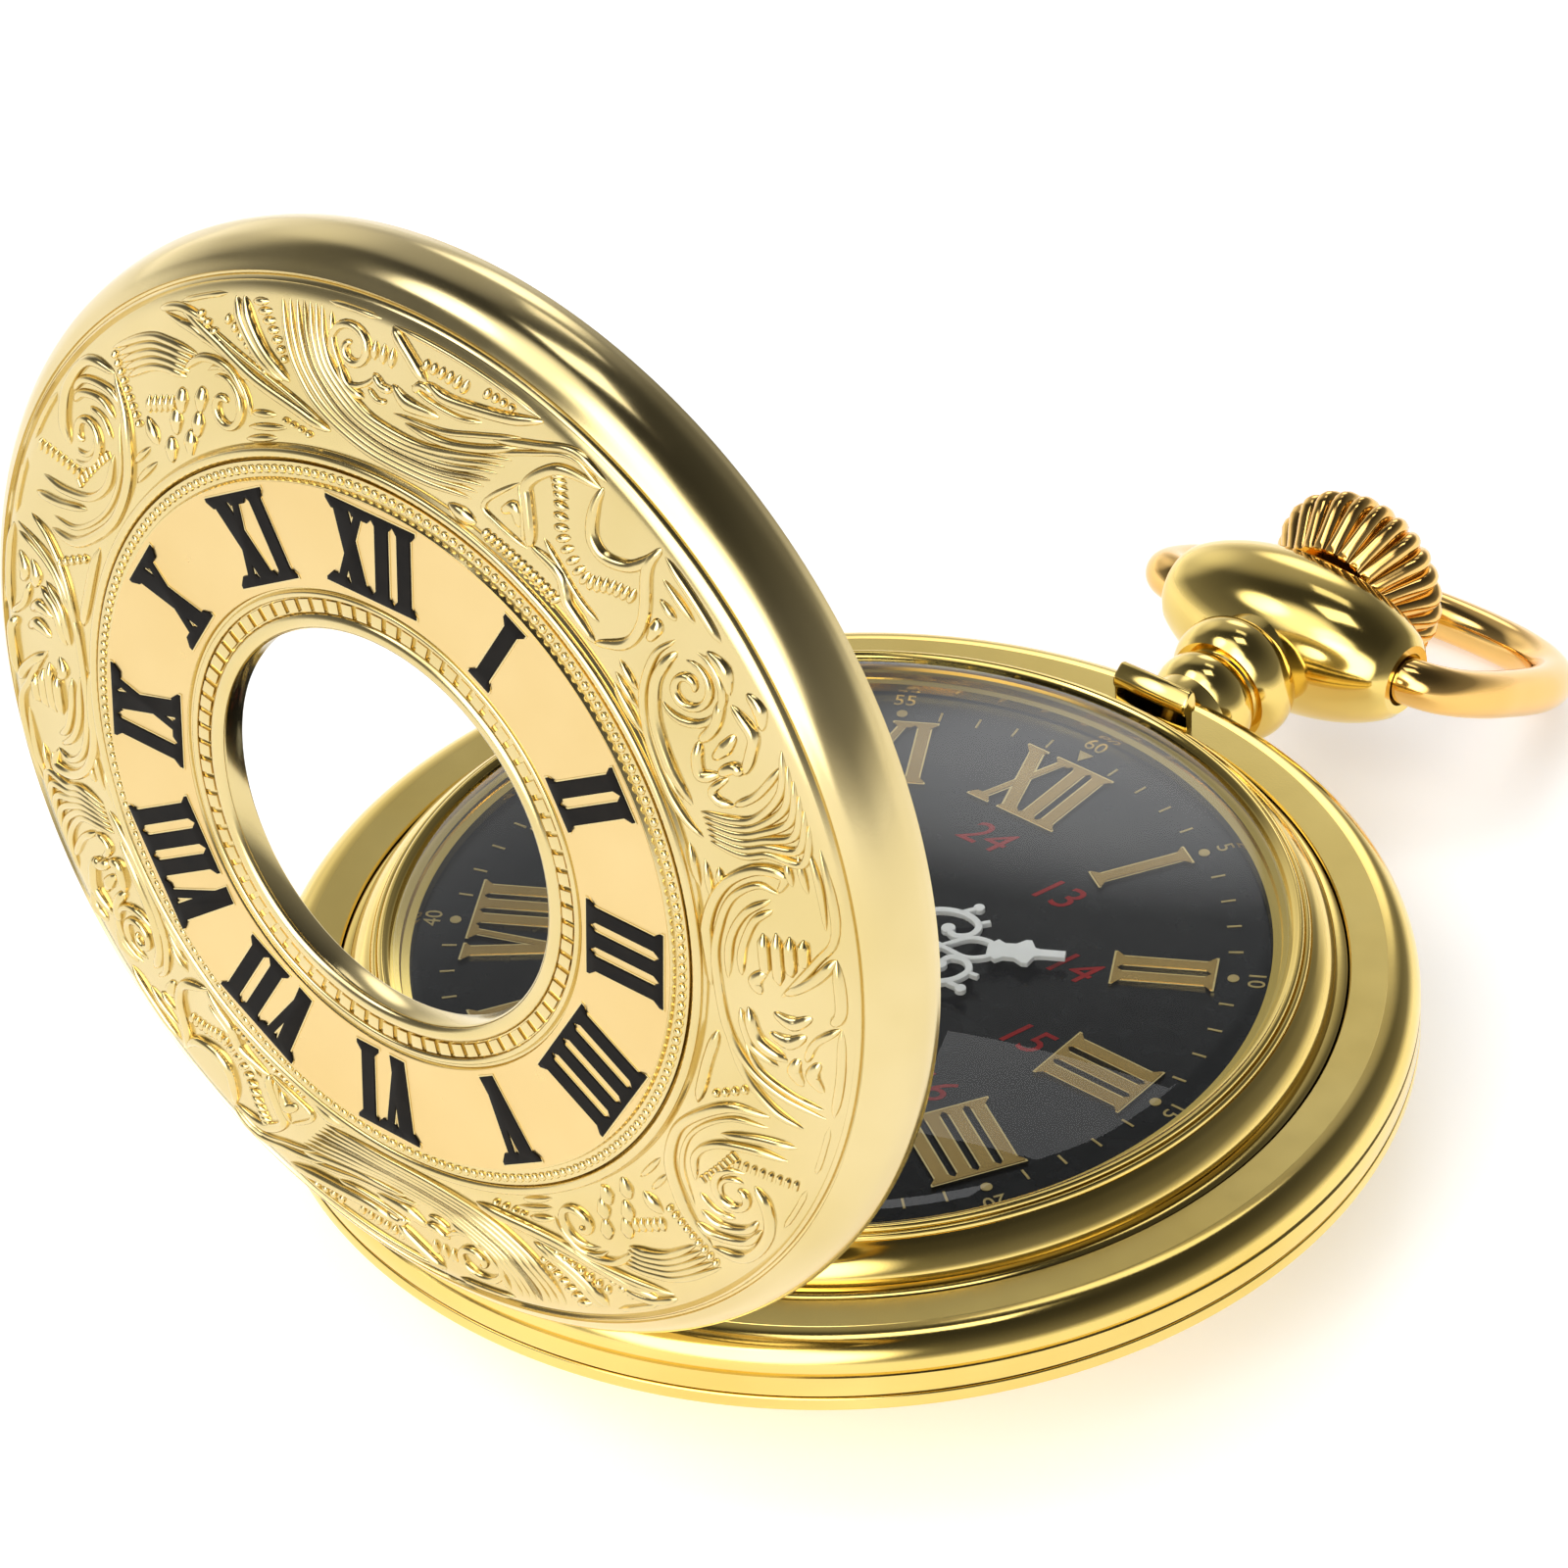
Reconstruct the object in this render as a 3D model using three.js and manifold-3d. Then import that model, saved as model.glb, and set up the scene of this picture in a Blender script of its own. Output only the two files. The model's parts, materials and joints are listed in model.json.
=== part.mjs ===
// A hunter pocket watch with a window in its front cover, lying on its back with the cover open.
// Millimetres. +Z points up out of the dial, +Y to 12 o'clock and the crown, +X to 3 o'clock.
// The origin is the centre of the back cover's flat rest face.
import * as THREE from "three";
import { mergeVertices } from "three/addons/utils/BufferGeometryUtils.js";
import Module from "manifold-3d";

const wasm = await Module();
wasm.setup();

// ---- driving dimensions ----------------------------------------------------------------------
const CASE_RADIUS = 23.5;
const BORE_RADIUS = 20.6; // inside of the case middle
const SEAM_HEIGHT = 5.8; // where the back cover meets the case middle
const LEDGE_HEIGHT = 8.2; // the flat ring that the front cover closes onto
const EDGE_ROUNDING = 1.3;
const DIAL_TOP = 8.8;
const DIAL_RADIUS = 18.9;
const PLATE_TOP = 7.4;
const PLATE_BOTTOM = 5.6;
const PLATE_RADIUS = 18.4;
const BRIDGE_TOP = 3.1;
const BRIDGE_BOTTOM = 2.6;
const STEM_HEIGHT = 6.6;
const STEM_RADIUS = 0.5;
const STEM_BORE = 0.59;
const STEM_END = 7.2; // the stem's inner end
const PRESS_TRAVEL = 0.5; // the crown pressed in to free the front cover
const BOW_PIVOT_Y = 30.95;
const BOW_WIRE = 1.05;
const BOW_DROOP = -30; // degrees below the dial plane, the bow resting on the table
const HINGE_Y = -22;
const HINGE_HEIGHT = 8.25;
const KNUCKLE_RADIUS = 0.7;
const HINGE_GAP = 0.1;
const LID_OPENING = 85.5; // degrees from closed
const LID_RADIUS = 22.4;
const WINDOW_RADIUS = 8;
const HOUR_HAND_ANGLE = 60; // degrees clockwise from 12
const MINUTE_HAND_ANGLE = 312;
const ROUND = 36; // facets of the large turned pieces
const SMALL = 12; // facets of arbors and screws

// ---- materials ---------------------------------------------------------------------------------
const metal = (color, roughness) => new THREE.MeshStandardMaterial({ color, roughness, metalness: 1 });
const gold = metal(0xe3c56b, 0.18);
const roseGold = metal(0xdea452, 0.15);
const brass = metal(0xc9a552, 0.35);
const steel = metal(0xb9bcc0, 0.3);
const blueSteel = metal(0x2c3f78, 0.25);
const nickel = metal(0xcfcfca, 0.35);
const blackLacquer = new THREE.MeshStandardMaterial({ color: 0x0b0b0c, roughness: 0.15, metalness: 0 });
const whiteLacquer = new THREE.MeshStandardMaterial({ color: 0xf4f4f2, roughness: 0.3, metalness: 0 });
const glass = new THREE.MeshStandardMaterial({
  color: 0xffffff,
  roughness: 0.02,
  metalness: 0,
  transparent: true,
  opacity: 0.2,
});

// ---- solid helpers -----------------------------------------------------------------------------
const rad = THREE.MathUtils.degToRad;

function solidOf(geometry) {
  const bare = geometry.clone();
  bare.deleteAttribute("normal");
  bare.deleteAttribute("uv");
  const merged = mergeVertices(bare, 1e-4);
  return new wasm.Manifold(
    new wasm.Mesh({
      numProp: 3,
      vertProperties: merged.attributes.position.array,
      triVerts: new Uint32Array(merged.index.array),
    }),
  );
}

function geometryOf(solid) {
  const mesh = solid.getMesh();
  const geometry = new THREE.BufferGeometry();
  geometry.setAttribute("position", new THREE.BufferAttribute(mesh.vertProperties, 3));
  geometry.setIndex(new THREE.BufferAttribute(mesh.triVerts, 1));
  return geometry;
}

function join(...geometries) {
  return geometryOf(geometries.map(solidOf).reduce((a, b) => a.add(b)));
}

function cut(geometry, ...tools) {
  return geometryOf(tools.map(solidOf).reduce((a, b) => a.subtract(b), solidOf(geometry)));
}

// Profile of [radius, height] pairs, anticlockwise, turned about Z.
function turned(profile, segments = ROUND) {
  const points = profile.map(([r, z]) => new THREE.Vector2(r, z));
  if (profile[0][0] > 0 || profile.at(-1)[0] > 0) points.push(points[0].clone());
  return new THREE.LatheGeometry(points, segments).rotateX(Math.PI / 2);
}

// The same profile turned about the stem's line, with height measured along +Y.
function turnedAlongStem(profile, segments = SMALL) {
  return turned(profile, segments).rotateX(-Math.PI / 2).translate(0, 0, STEM_HEIGHT);
}

const rod = (radius, bottom, top, segments = SMALL) =>
  turned([[0, bottom], [radius, bottom], [radius, top], [0, top]], segments);

const rodAlongStem = (radius, from, to, segments = SMALL) =>
  turnedAlongStem([[0, from], [radius, from], [radius, to], [0, to]], segments);

const rodAlongX = (radius, from, to, y, z, segments = 12) =>
  rod(radius, from, to, segments).rotateY(Math.PI / 2).translate(0, y, z);

function box(x0, x1, y0, y1, z0, z1) {
  const block = new THREE.BoxGeometry(x1 - x0, y1 - y0, z1 - z0);
  return block.translate((x0 + x1) / 2, (y0 + y1) / 2, (z0 + z1) / 2);
}

function slab(shape, bottom, top, curveSegments = 12) {
  const depth = top - bottom;
  const extruded = new THREE.ExtrudeGeometry(shape, { depth, bevelEnabled: false, curveSegments });
  return extruded.translate(0, 0, bottom);
}

function arcShape(inner, outer, fromDegrees, toDegrees) {
  const shape = new THREE.Shape();
  shape.absarc(0, 0, outer, rad(fromDegrees), rad(toDegrees), false);
  shape.absarc(0, 0, inner, rad(toDegrees), rad(fromDegrees), true);
  shape.closePath();
  return shape;
}

const polygon = (points) => new THREE.Shape(points.map(([x, y]) => new THREE.Vector2(x, y)));

// A toothed wheel: pointed teeth in shallow mesh, so that meshed wheels keep backlash.
function gear(teeth, pitchRadius, bottom, top, { depth = 0.32, phase = 0 } = {}) {
  const points = [];
  const pitch = (2 * Math.PI) / teeth;
  const root = pitchRadius - depth / 2 - 0.05;
  const tip = pitchRadius + depth / 2 - 0.08;
  for (let i = 0; i < teeth; i++) {
    for (const [offset, radius] of [[-0.5, root], [0, tip]]) {
      const angle = phase + (i + offset) * pitch;
      points.push([radius * Math.cos(angle), radius * Math.sin(angle)]);
    }
  }
  return slab(polygon(points), bottom, top);
}

// Phase of a wheel that puts one of its gaps opposite a tooth of the wheel it meshes with.
function meshedPhase(driver, driven) {
  const line = Math.atan2(driven.y - driver.y, driven.x - driver.x);
  const turnedBy = ((driver.phase - line) * driver.teeth) / driven.teeth;
  return line + Math.PI - Math.PI / driven.teeth - turnedBy;
}

const watch = new THREE.Group();

function add(name, geometry, material, parent = watch) {
  const mesh = new THREE.Mesh(geometry, material);
  mesh.name = name;
  parent.add(mesh);
  return mesh;
}

// ---- case --------------------------------------------------------------------------------------
const backDome = (r) => SEAM_HEIGHT * 0.9 * Math.max(0, (r - 11) / 12.5) ** 2;
const stemPassage = rodAlongStem(1.4, 18, 26);
const caseKnuckles = [[-4.5, -2.9], [-0.8, 0.8], [2.9, 4.5]];
const lidKnuckles = [[-2.8, -0.9], [0.9, 2.8]];
const knuckle = ([from, to]) => rodAlongX(KNUCKLE_RADIUS, from, to, HINGE_Y, HINGE_HEIGHT);
const knuckleRelief = ([from, to]) =>
  rodAlongX(KNUCKLE_RADIUS + HINGE_GAP, from - 0.05, to + 0.05, HINGE_Y, HINGE_HEIGHT);
const pinBore = rodAlongX(0.38, -5, 5, HINGE_Y, HINGE_HEIGHT);

function caseMiddle() {
  const profile = [[BORE_RADIUS, 5.25], [22, 5.25], [22, SEAM_HEIGHT], [CASE_RADIUS, SEAM_HEIGHT]];
  const roundingCentre = [CASE_RADIUS - EDGE_ROUNDING, LEDGE_HEIGHT - EDGE_ROUNDING];
  for (const degrees of [0, 30, 60, 90]) {
    const across = EDGE_ROUNDING * Math.cos(rad(degrees));
    const up = EDGE_ROUNDING * Math.sin(rad(degrees));
    profile.push([roundingCentre[0] + across, roundingCentre[1] + up]);
  }
  profile.push([BORE_RADIUS, LEDGE_HEIGHT]);
  const catchSlot = box(-2.05, 2.05, 19.5, 21.65, 5, 8.5);
  const springChannel = slab(arcShape(20.3, 21.25, 232, 308), 5.7, 7.1, 4);
  const springSlot = box(-1.4, 1.4, -21.3, -20, 5.6, 9);
  const hingeRecess = box(-5, 5, -25, -22.4, 7.65, 9);
  const reliefs = [hingeRecess, stemPassage, catchSlot, springChannel, springSlot];
  const ring = cut(turned(profile), ...lidKnuckles.map(knuckleRelief), ...reliefs);
  return cut(join(ring, ...caseKnuckles.map(knuckle)), pinBore);
}

function backCover() {
  const wall = 0.85;
  const domeRadii = [11, 14.5, 18, 21];
  const outside = domeRadii.map((r) => [r, backDome(r)]);
  const inside = domeRadii.map((r) => [r - 0.1, backDome(r) + wall]).reverse();
  const top = SEAM_HEIGHT - 0.05;
  const rim = [[CASE_RADIUS, 5.1], [CASE_RADIUS, top], [22.2, top], [22.2, 5]];
  const shell = turned([[0, 0], ...outside, ...rim, ...inside, [0, wall]]);
  return cut(shell, rodAlongStem(2.1, 20, 26));
}

function bezel() {
  const profile = [
    [19.1, 7.5], [20.5, 7.5], [20.5, 8.1], [20.05, 8.15], [20, 8.9], [19.4, 9.8], [18.8, 10.15],
    [18.25, 10.15], [18.25, 9.5], [17.45, 9.4], [17.45, 8.9], [19.1, 8.9],
  ];
  return cut(turned(profile), box(-2.1, 2.1, 20.08, 21, 7.3, 8.12));
}

function crystal() {
  const outer = [18.15, 14, 7].map((r) => [r, 12.1 - 1.95 * (r / 18.15) ** 2]);
  const inner = [6.8, 13, 17.3].map((r) => [r, 11.3 - 1.6 * (r / 17.3) ** 2]);
  return turned([[0, 11.3], ...inner, [18.15, 9.7], ...outer, [0, 12.1]]);
}

function frontCover() {
  const outside = [
    [21.6, 8.3], [22.15, 8.3], [LID_RADIUS, 9], [LID_RADIUS, 9.8], [22.05, 10.8], [20.9, 11.55],
    [18, 12.4], [15, 12.9], [14, 13.15], [9.6, 13.2], [8.5, 13.1],
  ];
  const inside = [
    [WINDOW_RADIUS, 12.8], [WINDOW_RADIUS, 12], [9.6, 12.25], [14, 12.2], [20.4, 10.75],
    [21.2, 10.45], [21.65, 9.9], [21.65, 8.9],
  ];
  const shell = cut(turned([...outside, ...inside]), ...caseKnuckles.map(knuckleRelief));
  const catchLip = box(-1.6, 1.6, 21.1, 21.8, 8.4, 8.9);
  return cut(join(shell, ...lidKnuckles.map(knuckle), catchLip), pinBore);
}

function liftSpring() {
  const leaf = slab(arcShape(20.75, 21.1, 234, 306), 5.85, 6.95, 4);
  const tip = box(-1.2, 1.2, -21.12, -20.8, 6, 8.1);
  return join(leaf, tip);
}

function lidCatch() {
  const halfWidth = 1.9;
  const stalk = box(-halfWidth, halfWidth, 20.7, 21.1, 5.4, 9.05);
  const headSide = polygon([
    [20.7, 9], [21.4, 9], [21.4, 9.55], [21.15, 9.85], [20.85, 9.95], [20.6, 9.8], [20.55, 9.4],
  ]);
  const head = slab(headSide, -halfWidth, halfWidth).rotateX(Math.PI / 2).rotateZ(Math.PI / 2);
  return cut(join(stalk, head), rodAlongStem(0.8, 19, 23));
}

add("case_middle", caseMiddle(), gold);
add("back_cover", backCover(), gold);
add("bezel", bezel(), gold);
add("crystal", crystal(), glass);
add("lift_spring", liftSpring(), steel);
add("lid_catch", lidCatch(), gold);
add("hinge_pin", rodAlongX(0.32, -4.5, 4.5, HINGE_Y, HINGE_HEIGHT), steel);

const lidGroup = new THREE.Group();
lidGroup.position.set(0, HINGE_Y, HINGE_HEIGHT);
lidGroup.rotation.x = rad(LID_OPENING);
watch.add(lidGroup);
add("front_cover", frontCover().translate(0, -HINGE_Y, -HINGE_HEIGHT), gold, lidGroup);

// ---- pendant, bow and crown ----------------------------------------------------------------------
const BULB_HALF_WIDTH = 6;
const PENDANT_BORE = 0.98;

function pendant() {
  const neck = turnedAlongStem([
    [0, 21.95], [1.3, 21.95], [1.3, 23.56], [2, 23.56], [2.3, 24.1], [2.35, 24.7], [2.05, 25.3],
    [2.7, 25.9], [2.9, 26.6], [2.7, 27.2], [2.3, 27.8], [2.3, 29.5], [0, 29.5],
  ], 20);
  const bulbProfile = [[0, -BULB_HALF_WIDTH]];
  for (let step = -4; step <= 4; step++) {
    const x = (step / 4) * BULB_HALF_WIDTH;
    bulbProfile.push([3.4 * Math.sqrt(1 - (x / 6.9) ** 2), x]);
  }
  bulbProfile.push([0, BULB_HALF_WIDTH]);
  const bulb = turned(bulbProfile, 24).rotateY(Math.PI / 2).translate(0, BOW_PIVOT_Y, STEM_HEIGHT);
  const flatEnd = box(-8, 8, 33, 40, 0, 14);
  const bowHoles = [-1, 1].map((side) =>
    rodAlongX(BOW_WIRE + 0.1, side > 0 ? 4.6 : -8, side > 0 ? 8 : -4.6, BOW_PIVOT_Y, STEM_HEIGHT, 16));
  const solid = cut(join(neck, bulb), flatEnd, ...bowHoles);
  return cut(solid, rodAlongStem(PENDANT_BORE, 20, 36));
}

// The bow's wire: half of its centreline as [across, along] from the pivot, mirrored.
function bow() {
  const half = [
    [4.9, 0], [6.2, 0], [7.3, 0.8], [7.85, 2.6], [7.95, 5.2], [7.5, 9.4], [6, 12.9], [3.3, 15.2],
  ];
  const mirrored = half.map(([across, along]) => [-across, along]).reverse();
  const centreline = [...half, [0, 15.9], ...mirrored];
  const path = new THREE.CatmullRomCurve3(centreline.map(([x, y]) => new THREE.Vector3(x, y, 0)));
  const section = new THREE.Shape();
  section.absarc(0, 0, BOW_WIRE, 0, 2 * Math.PI);
  const sweep = { steps: 36, curveSegments: 5, extrudePath: path, bevelEnabled: false };
  return new THREE.ExtrudeGeometry(section, sweep);
}

const CROWN_BASE = 33.55;
const CROWN_RADIUS = 4.25;
const FLUTE_DEPTH = 0.35;

function crown() {
  const flutes = 26;
  const points = [];
  for (let i = 0; i < flutes * 2; i++) {
    const angle = (i / flutes) * Math.PI;
    const radius = i % 2 ? CROWN_RADIUS - FLUTE_DEPTH : CROWN_RADIUS;
    points.push([radius * Math.cos(angle), radius * Math.sin(angle)]);
  }
  const rim = slab(polygon(points), 1.5, 2.9);
  const core = turned([[0, 0], [2.6, 0], [3.2, 0.6], [3.9, 1.55], [3.9, 2.85], [2.9, 3.6], [0, 3.95]], 26);
  const whole = cut(join(rim, core), rod(STEM_RADIUS + 0.02, -1, 2, SMALL));
  return whole.rotateX(-Math.PI / 2).translate(0, CROWN_BASE, STEM_HEIGHT);
}

add("pendant", pendant(), gold);
const bowGroup = new THREE.Group();
bowGroup.position.set(0, BOW_PIVOT_Y, STEM_HEIGHT);
bowGroup.rotation.x = rad(BOW_DROOP);
watch.add(bowGroup);
add("bow", bow(), roseGold, bowGroup);
add("crown", crown(), roseGold);

const sleeveProfile = [[0.62, 21.2], [0.9, 21.2], [0.9, 31], [0.62, 31]];
add("release_sleeve", turnedAlongStem(sleeveProfile), steel);
add("winding_stem", rodAlongStem(STEM_RADIUS, STEM_END, 35.4), steel);

// ---- keyless works on the stem's line --------------------------------------------------------------
const LEVER_Y = 14;
const YOKE_Y = 10.3;
const CLUTCH_Y = 9.6;
const WINDING_PINION_Y = 11.45;

function settingLever() {
  const plate = box(-1.5, 1.5, LEVER_Y, LEVER_Y + 0.5, 5.75, 7.3);
  return cut(plate, rodAlongStem(STEM_BORE, LEVER_Y - 1, LEVER_Y + 2));
}

function yoke() {
  const plate = box(-1.85, 1.85, YOKE_Y, YOKE_Y + 0.2, 5.1, 8);
  const forkGap = box(-0.95, 0.95, YOKE_Y - 1, YOKE_Y + 1, 5, STEM_HEIGHT);
  return cut(plate, rodAlongStem(0.95, YOKE_Y - 1, YOKE_Y + 1), forkGap);
}

function slidingPinion() {
  const spool = turnedAlongStem([
    [STEM_BORE, CLUTCH_Y], [1.25, CLUTCH_Y], [1.25, CLUTCH_Y + 0.6], [0.85, CLUTCH_Y + 0.6],
    [0.85, CLUTCH_Y + 1], [1.25, CLUTCH_Y + 1], [1.25, CLUTCH_Y + 1.6], [STEM_BORE, CLUTCH_Y + 1.6],
  ]);
  return spool;
}

function windingPinion() {
  const leaves = gear(12, 1.5, 0, 1.55, { depth: 0.36 });
  const bored = cut(leaves, rod(STEM_BORE, -1, 3));
  return bored.rotateX(-Math.PI / 2).translate(0, WINDING_PINION_Y, STEM_HEIGHT);
}

add("setting_lever", settingLever(), steel);
add("yoke", yoke(), steel);
add("sliding_pinion", slidingPinion(), steel);
add("winding_pinion", windingPinion(), steel);

// ---- movement: plates and bridges -------------------------------------------------------------------
const PIVOT_HOLE = 0.45;
const wheelAt = (x, y, teeth, pitchRadius) => ({ x, y, teeth, pitchRadius, phase: 0 });
const polar = (from, distance, degrees) => [
  from.x + distance * Math.cos(rad(degrees)),
  from.y + distance * Math.sin(rad(degrees)),
];

const centreWheel = wheelAt(0, 0, 48, 4.8);
const centrePinion = wheelAt(0, 0, 8, 1);
const barrelAt = wheelAt(...polar(centreWheel, 7, 35), 48, 6);
const thirdPinion = wheelAt(...polar(centreWheel, 5.4, 200), 6, 0.6);
const thirdWheel = wheelAt(thirdPinion.x, thirdPinion.y, 45, 4.2);
const fourthPinion = wheelAt(...polar(thirdWheel, 4.76, 250), 6, 0.56);
const fourthWheel = wheelAt(fourthPinion.x, fourthPinion.y, 48, 3.6);
const escapePinion = wheelAt(...polar(fourthWheel, 4.05, 330), 6, 0.45);
const palletAt = wheelAt(...polar(escapePinion, 3.1, 350), 0, 0);
const balanceAt = wheelAt(...polar(palletAt, 3.4, 10), 0, 0);
const ratchetAt = wheelAt(barrelAt.x, barrelAt.y, 36, 4.8);
const CROWN_WHEEL_REACH = 8; // ratchet axis to crown wheel axis
const crownWheelY = barrelAt.y + Math.sqrt(CROWN_WHEEL_REACH ** 2 - barrelAt.x ** 2);
const crownWheelAt = wheelAt(0, crownWheelY, 24, 3.2);
const cannonAt = wheelAt(0, 0, 8, 0.8);
const minuteWheelAt = wheelAt(...polar(centreWheel, 3.2, 110), 24, 2.4);
const minutePinionAt = wheelAt(minuteWheelAt.x, minuteWheelAt.y, 6, 0.64);
const hourWheelAt = wheelAt(0, 0, 24, 2.56);
const settingWheelAt = wheelAt(0, minuteWheelAt.y + Math.sqrt(4 ** 2 - minuteWheelAt.x ** 2), 16, 1.6);
const clickAt = { x: 11.3, y: 6.3 };
const screwAt = (degrees, radius = 16) => ({
  x: radius * Math.cos(rad(degrees)),
  y: radius * Math.sin(rad(degrees)),
});
const barrelScrewAt = screwAt(20);
const trainScrewAt = screwAt(190);
const cockScrewAt = screwAt(292);
const caseScrewsAt = [screwAt(117, 17.55), screwAt(323, 17.55)];
const dialFeet = [{ x: 14, y: -6 }, { x: -14, y: 6 }];

const rodAt = ({ x, y }, radius, bottom, top) => rod(radius, bottom, top, 10).translate(x, y, 0);

function mainPlate() {
  const keylessSlot = box(-1.95, 1.95, 8.6, 19, 5, 8);
  const pilotHole = rodAlongStem(STEM_BORE + 0.01, STEM_END - PRESS_TRAVEL - 0.2, 9);
  const recess = (at) => rodAt(at, PIVOT_HOLE, 5, 6.3);
  const through = (at) => rodAt(at, 0.52, 5, 8);
  const plate = cut(
    rod(PLATE_RADIUS, PLATE_BOTTOM, PLATE_TOP, ROUND),
    keylessSlot,
    pilotHole,
    rodAt(centreWheel, 0.62, 5, 8),
    rodAt(barrelAt, 0.9, 5, 6.5),
    ...[thirdWheel, fourthWheel, escapePinion, palletAt, balanceAt].map(recess),
    ...[barrelScrewAt, trainScrewAt, cockScrewAt, ...caseScrewsAt, ...dialFeet].map(through),
  );
  const studs = [rodAt(minuteWheelAt, 0.3, 7, 8.25), rodAt(settingWheelAt, 0.3, 7.3, 7.95)];
  return join(plate, ...studs, rodAt(clickAt, 0.4, 4.5, 5.7));
}

function movementRing() {
  const profile = [[18.55, 5.65], [20.5, 5.65], [20.5, 7.4], [19, 7.4], [19, 8.35], [18.55, 8.35]];
  return cut(turned(profile), box(-2.4, 2.4, 17, 22, 5, 9));
}

// A bridge is a plate with a foot along its outer edge that stands on the main plate.
function bridge(plan, footFrom, footTo, pivots, screw) {
  const foot = slab(arcShape(15.2, 17, footFrom, footTo), BRIDGE_BOTTOM, PLATE_BOTTOM - 0.02, 6);
  const solid = join(slab(plan, BRIDGE_BOTTOM, BRIDGE_TOP, 10), foot);
  const holes = pivots.map(({ at, radius }) => rodAt(at, radius, 2, 3.6));
  return cut(solid, ...holes, rodAt(screw, 0.52, 2, 6));
}

function barrelBridge() {
  const plan = arcShape(3.4, 17, -14, 104);
  const pivots = [{ at: barrelAt, radius: 0.62 }];
  const solid = bridge(plan, -14, 60, pivots, barrelScrewAt);
  const post = join(rodAt(crownWheelAt, 1.35, 3, 4.42), rodAt(crownWheelAt, 0.8, 3, 4.95));
  return join(solid, post);
}

function trainBridge() {
  const plan = new THREE.Shape();
  plan.absarc(0, 0, 17, rad(126), rad(262), false);
  plan.absarc(0, 0, 1.4, rad(300), rad(60), true);
  plan.closePath();
  const arbors = [centreWheel, thirdWheel, fourthWheel, escapePinion];
  const pivots = arbors.map((at) => ({ at, radius: PIVOT_HOLE }));
  return bridge(plan, 130, 240, pivots, trainScrewAt);
}

function balanceCock() {
  const arm = polygon([[4.6, -16.3], [8.2, -14.9], [4.6, -7.2], [2.4, -6.9], [1.8, -9]]);
  return bridge(arm, 284, 300, [{ at: balanceAt, radius: PIVOT_HOLE }], cockScrewAt);
}

function screw({ x, y }, headBottom, headTop, shankTop, headRadius) {
  const shankRadius = 0.42;
  const body = turned([
    [0, headBottom], [headRadius, headBottom], [headRadius, headTop], [shankRadius, headTop],
    [shankRadius, shankTop], [0, shankTop],
  ], SMALL);
  const slot = box(-headRadius - 1, headRadius + 1, -0.13, 0.13, headBottom - 1, headBottom + 0.15);
  return cut(body, slot).translate(x, y, 0);
}

add("main_plate", mainPlate(), nickel);
add("movement_ring", movementRing(), brass);
add("barrel_bridge", barrelBridge(), nickel);
add("train_bridge", trainBridge(), nickel);
add("balance_cock", balanceCock(), nickel);
add("barrel_bridge_screw", screw(barrelScrewAt, 2.2, 2.56, 6.6, 0.85), blueSteel);
add("train_bridge_screw", screw(trainScrewAt, 2.2, 2.56, 6.6, 0.85), blueSteel);
add("balance_cock_screw", screw(cockScrewAt, 2.2, 2.56, 6.6, 0.85), blueSteel);
add("case_screw_left", screw(caseScrewsAt[0], 5.2, 5.56, 7, 1.3), blueSteel);
add("case_screw_right", screw(caseScrewsAt[1], 5.2, 5.56, 7, 1.3), blueSteel);

// ---- movement: power and train ------------------------------------------------------------------------
// Wheel, pinion and arbor of one train piece, centred on its axis.
function trainPiece({ wheel, pinion, wheelZ, pinionZ, arbor, axis }) {
  const [arborRadius, arborBottom, arborTop] = arbor;
  const pieces = [rod(arborRadius, arborBottom, arborTop, 8)];
  if (wheel) {
    const spokeWindows = [0, 1, 2, 3].map((i) => {
      const window = arcShape(wheel.pitchRadius * 0.3, wheel.pitchRadius * 0.8, i * 90 + 14, i * 90 + 76);
      return slab(window, wheelZ[0] - 1, wheelZ[1] + 1, 2);
    });
    const rim = gear(wheel.teeth, wheel.pitchRadius, ...wheelZ, { phase: wheel.phase });
    pieces.push(cut(rim, ...spokeWindows));
  }
  if (pinion) {
    const style = { phase: pinion.phase, depth: 0.3 };
    pieces.push(gear(pinion.teeth, pinion.pitchRadius, ...pinionZ, style));
  }
  return join(...pieces).translate(axis.x, axis.y, 0);
}

barrelAt.phase = meshedPhase(centrePinion, barrelAt);
thirdPinion.phase = meshedPhase(centreWheel, thirdPinion);
fourthPinion.phase = meshedPhase(thirdWheel, fourthPinion);
escapePinion.phase = meshedPhase(fourthWheel, escapePinion);
crownWheelAt.phase = meshedPhase(ratchetAt, crownWheelAt);
minuteWheelAt.phase = meshedPhase(cannonAt, minuteWheelAt);
hourWheelAt.phase = meshedPhase(minutePinionAt, hourWheelAt);
settingWheelAt.phase = meshedPhase(minuteWheelAt, settingWheelAt);

function barrel() {
  const drum = turned([[0.95, 3.35], [5.6, 3.35], [5.6, 4.35], [5.2, 4.35], [5.2, 3.6], [0.95, 3.6]], 24);
  const teeth = gear(barrelAt.teeth, barrelAt.pitchRadius, 3.9, 4.35, { phase: barrelAt.phase });
  const rim = cut(teeth, rod(5.35, 3, 5, 24));
  return join(drum, rim).translate(barrelAt.x, barrelAt.y, 0);
}

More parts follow.
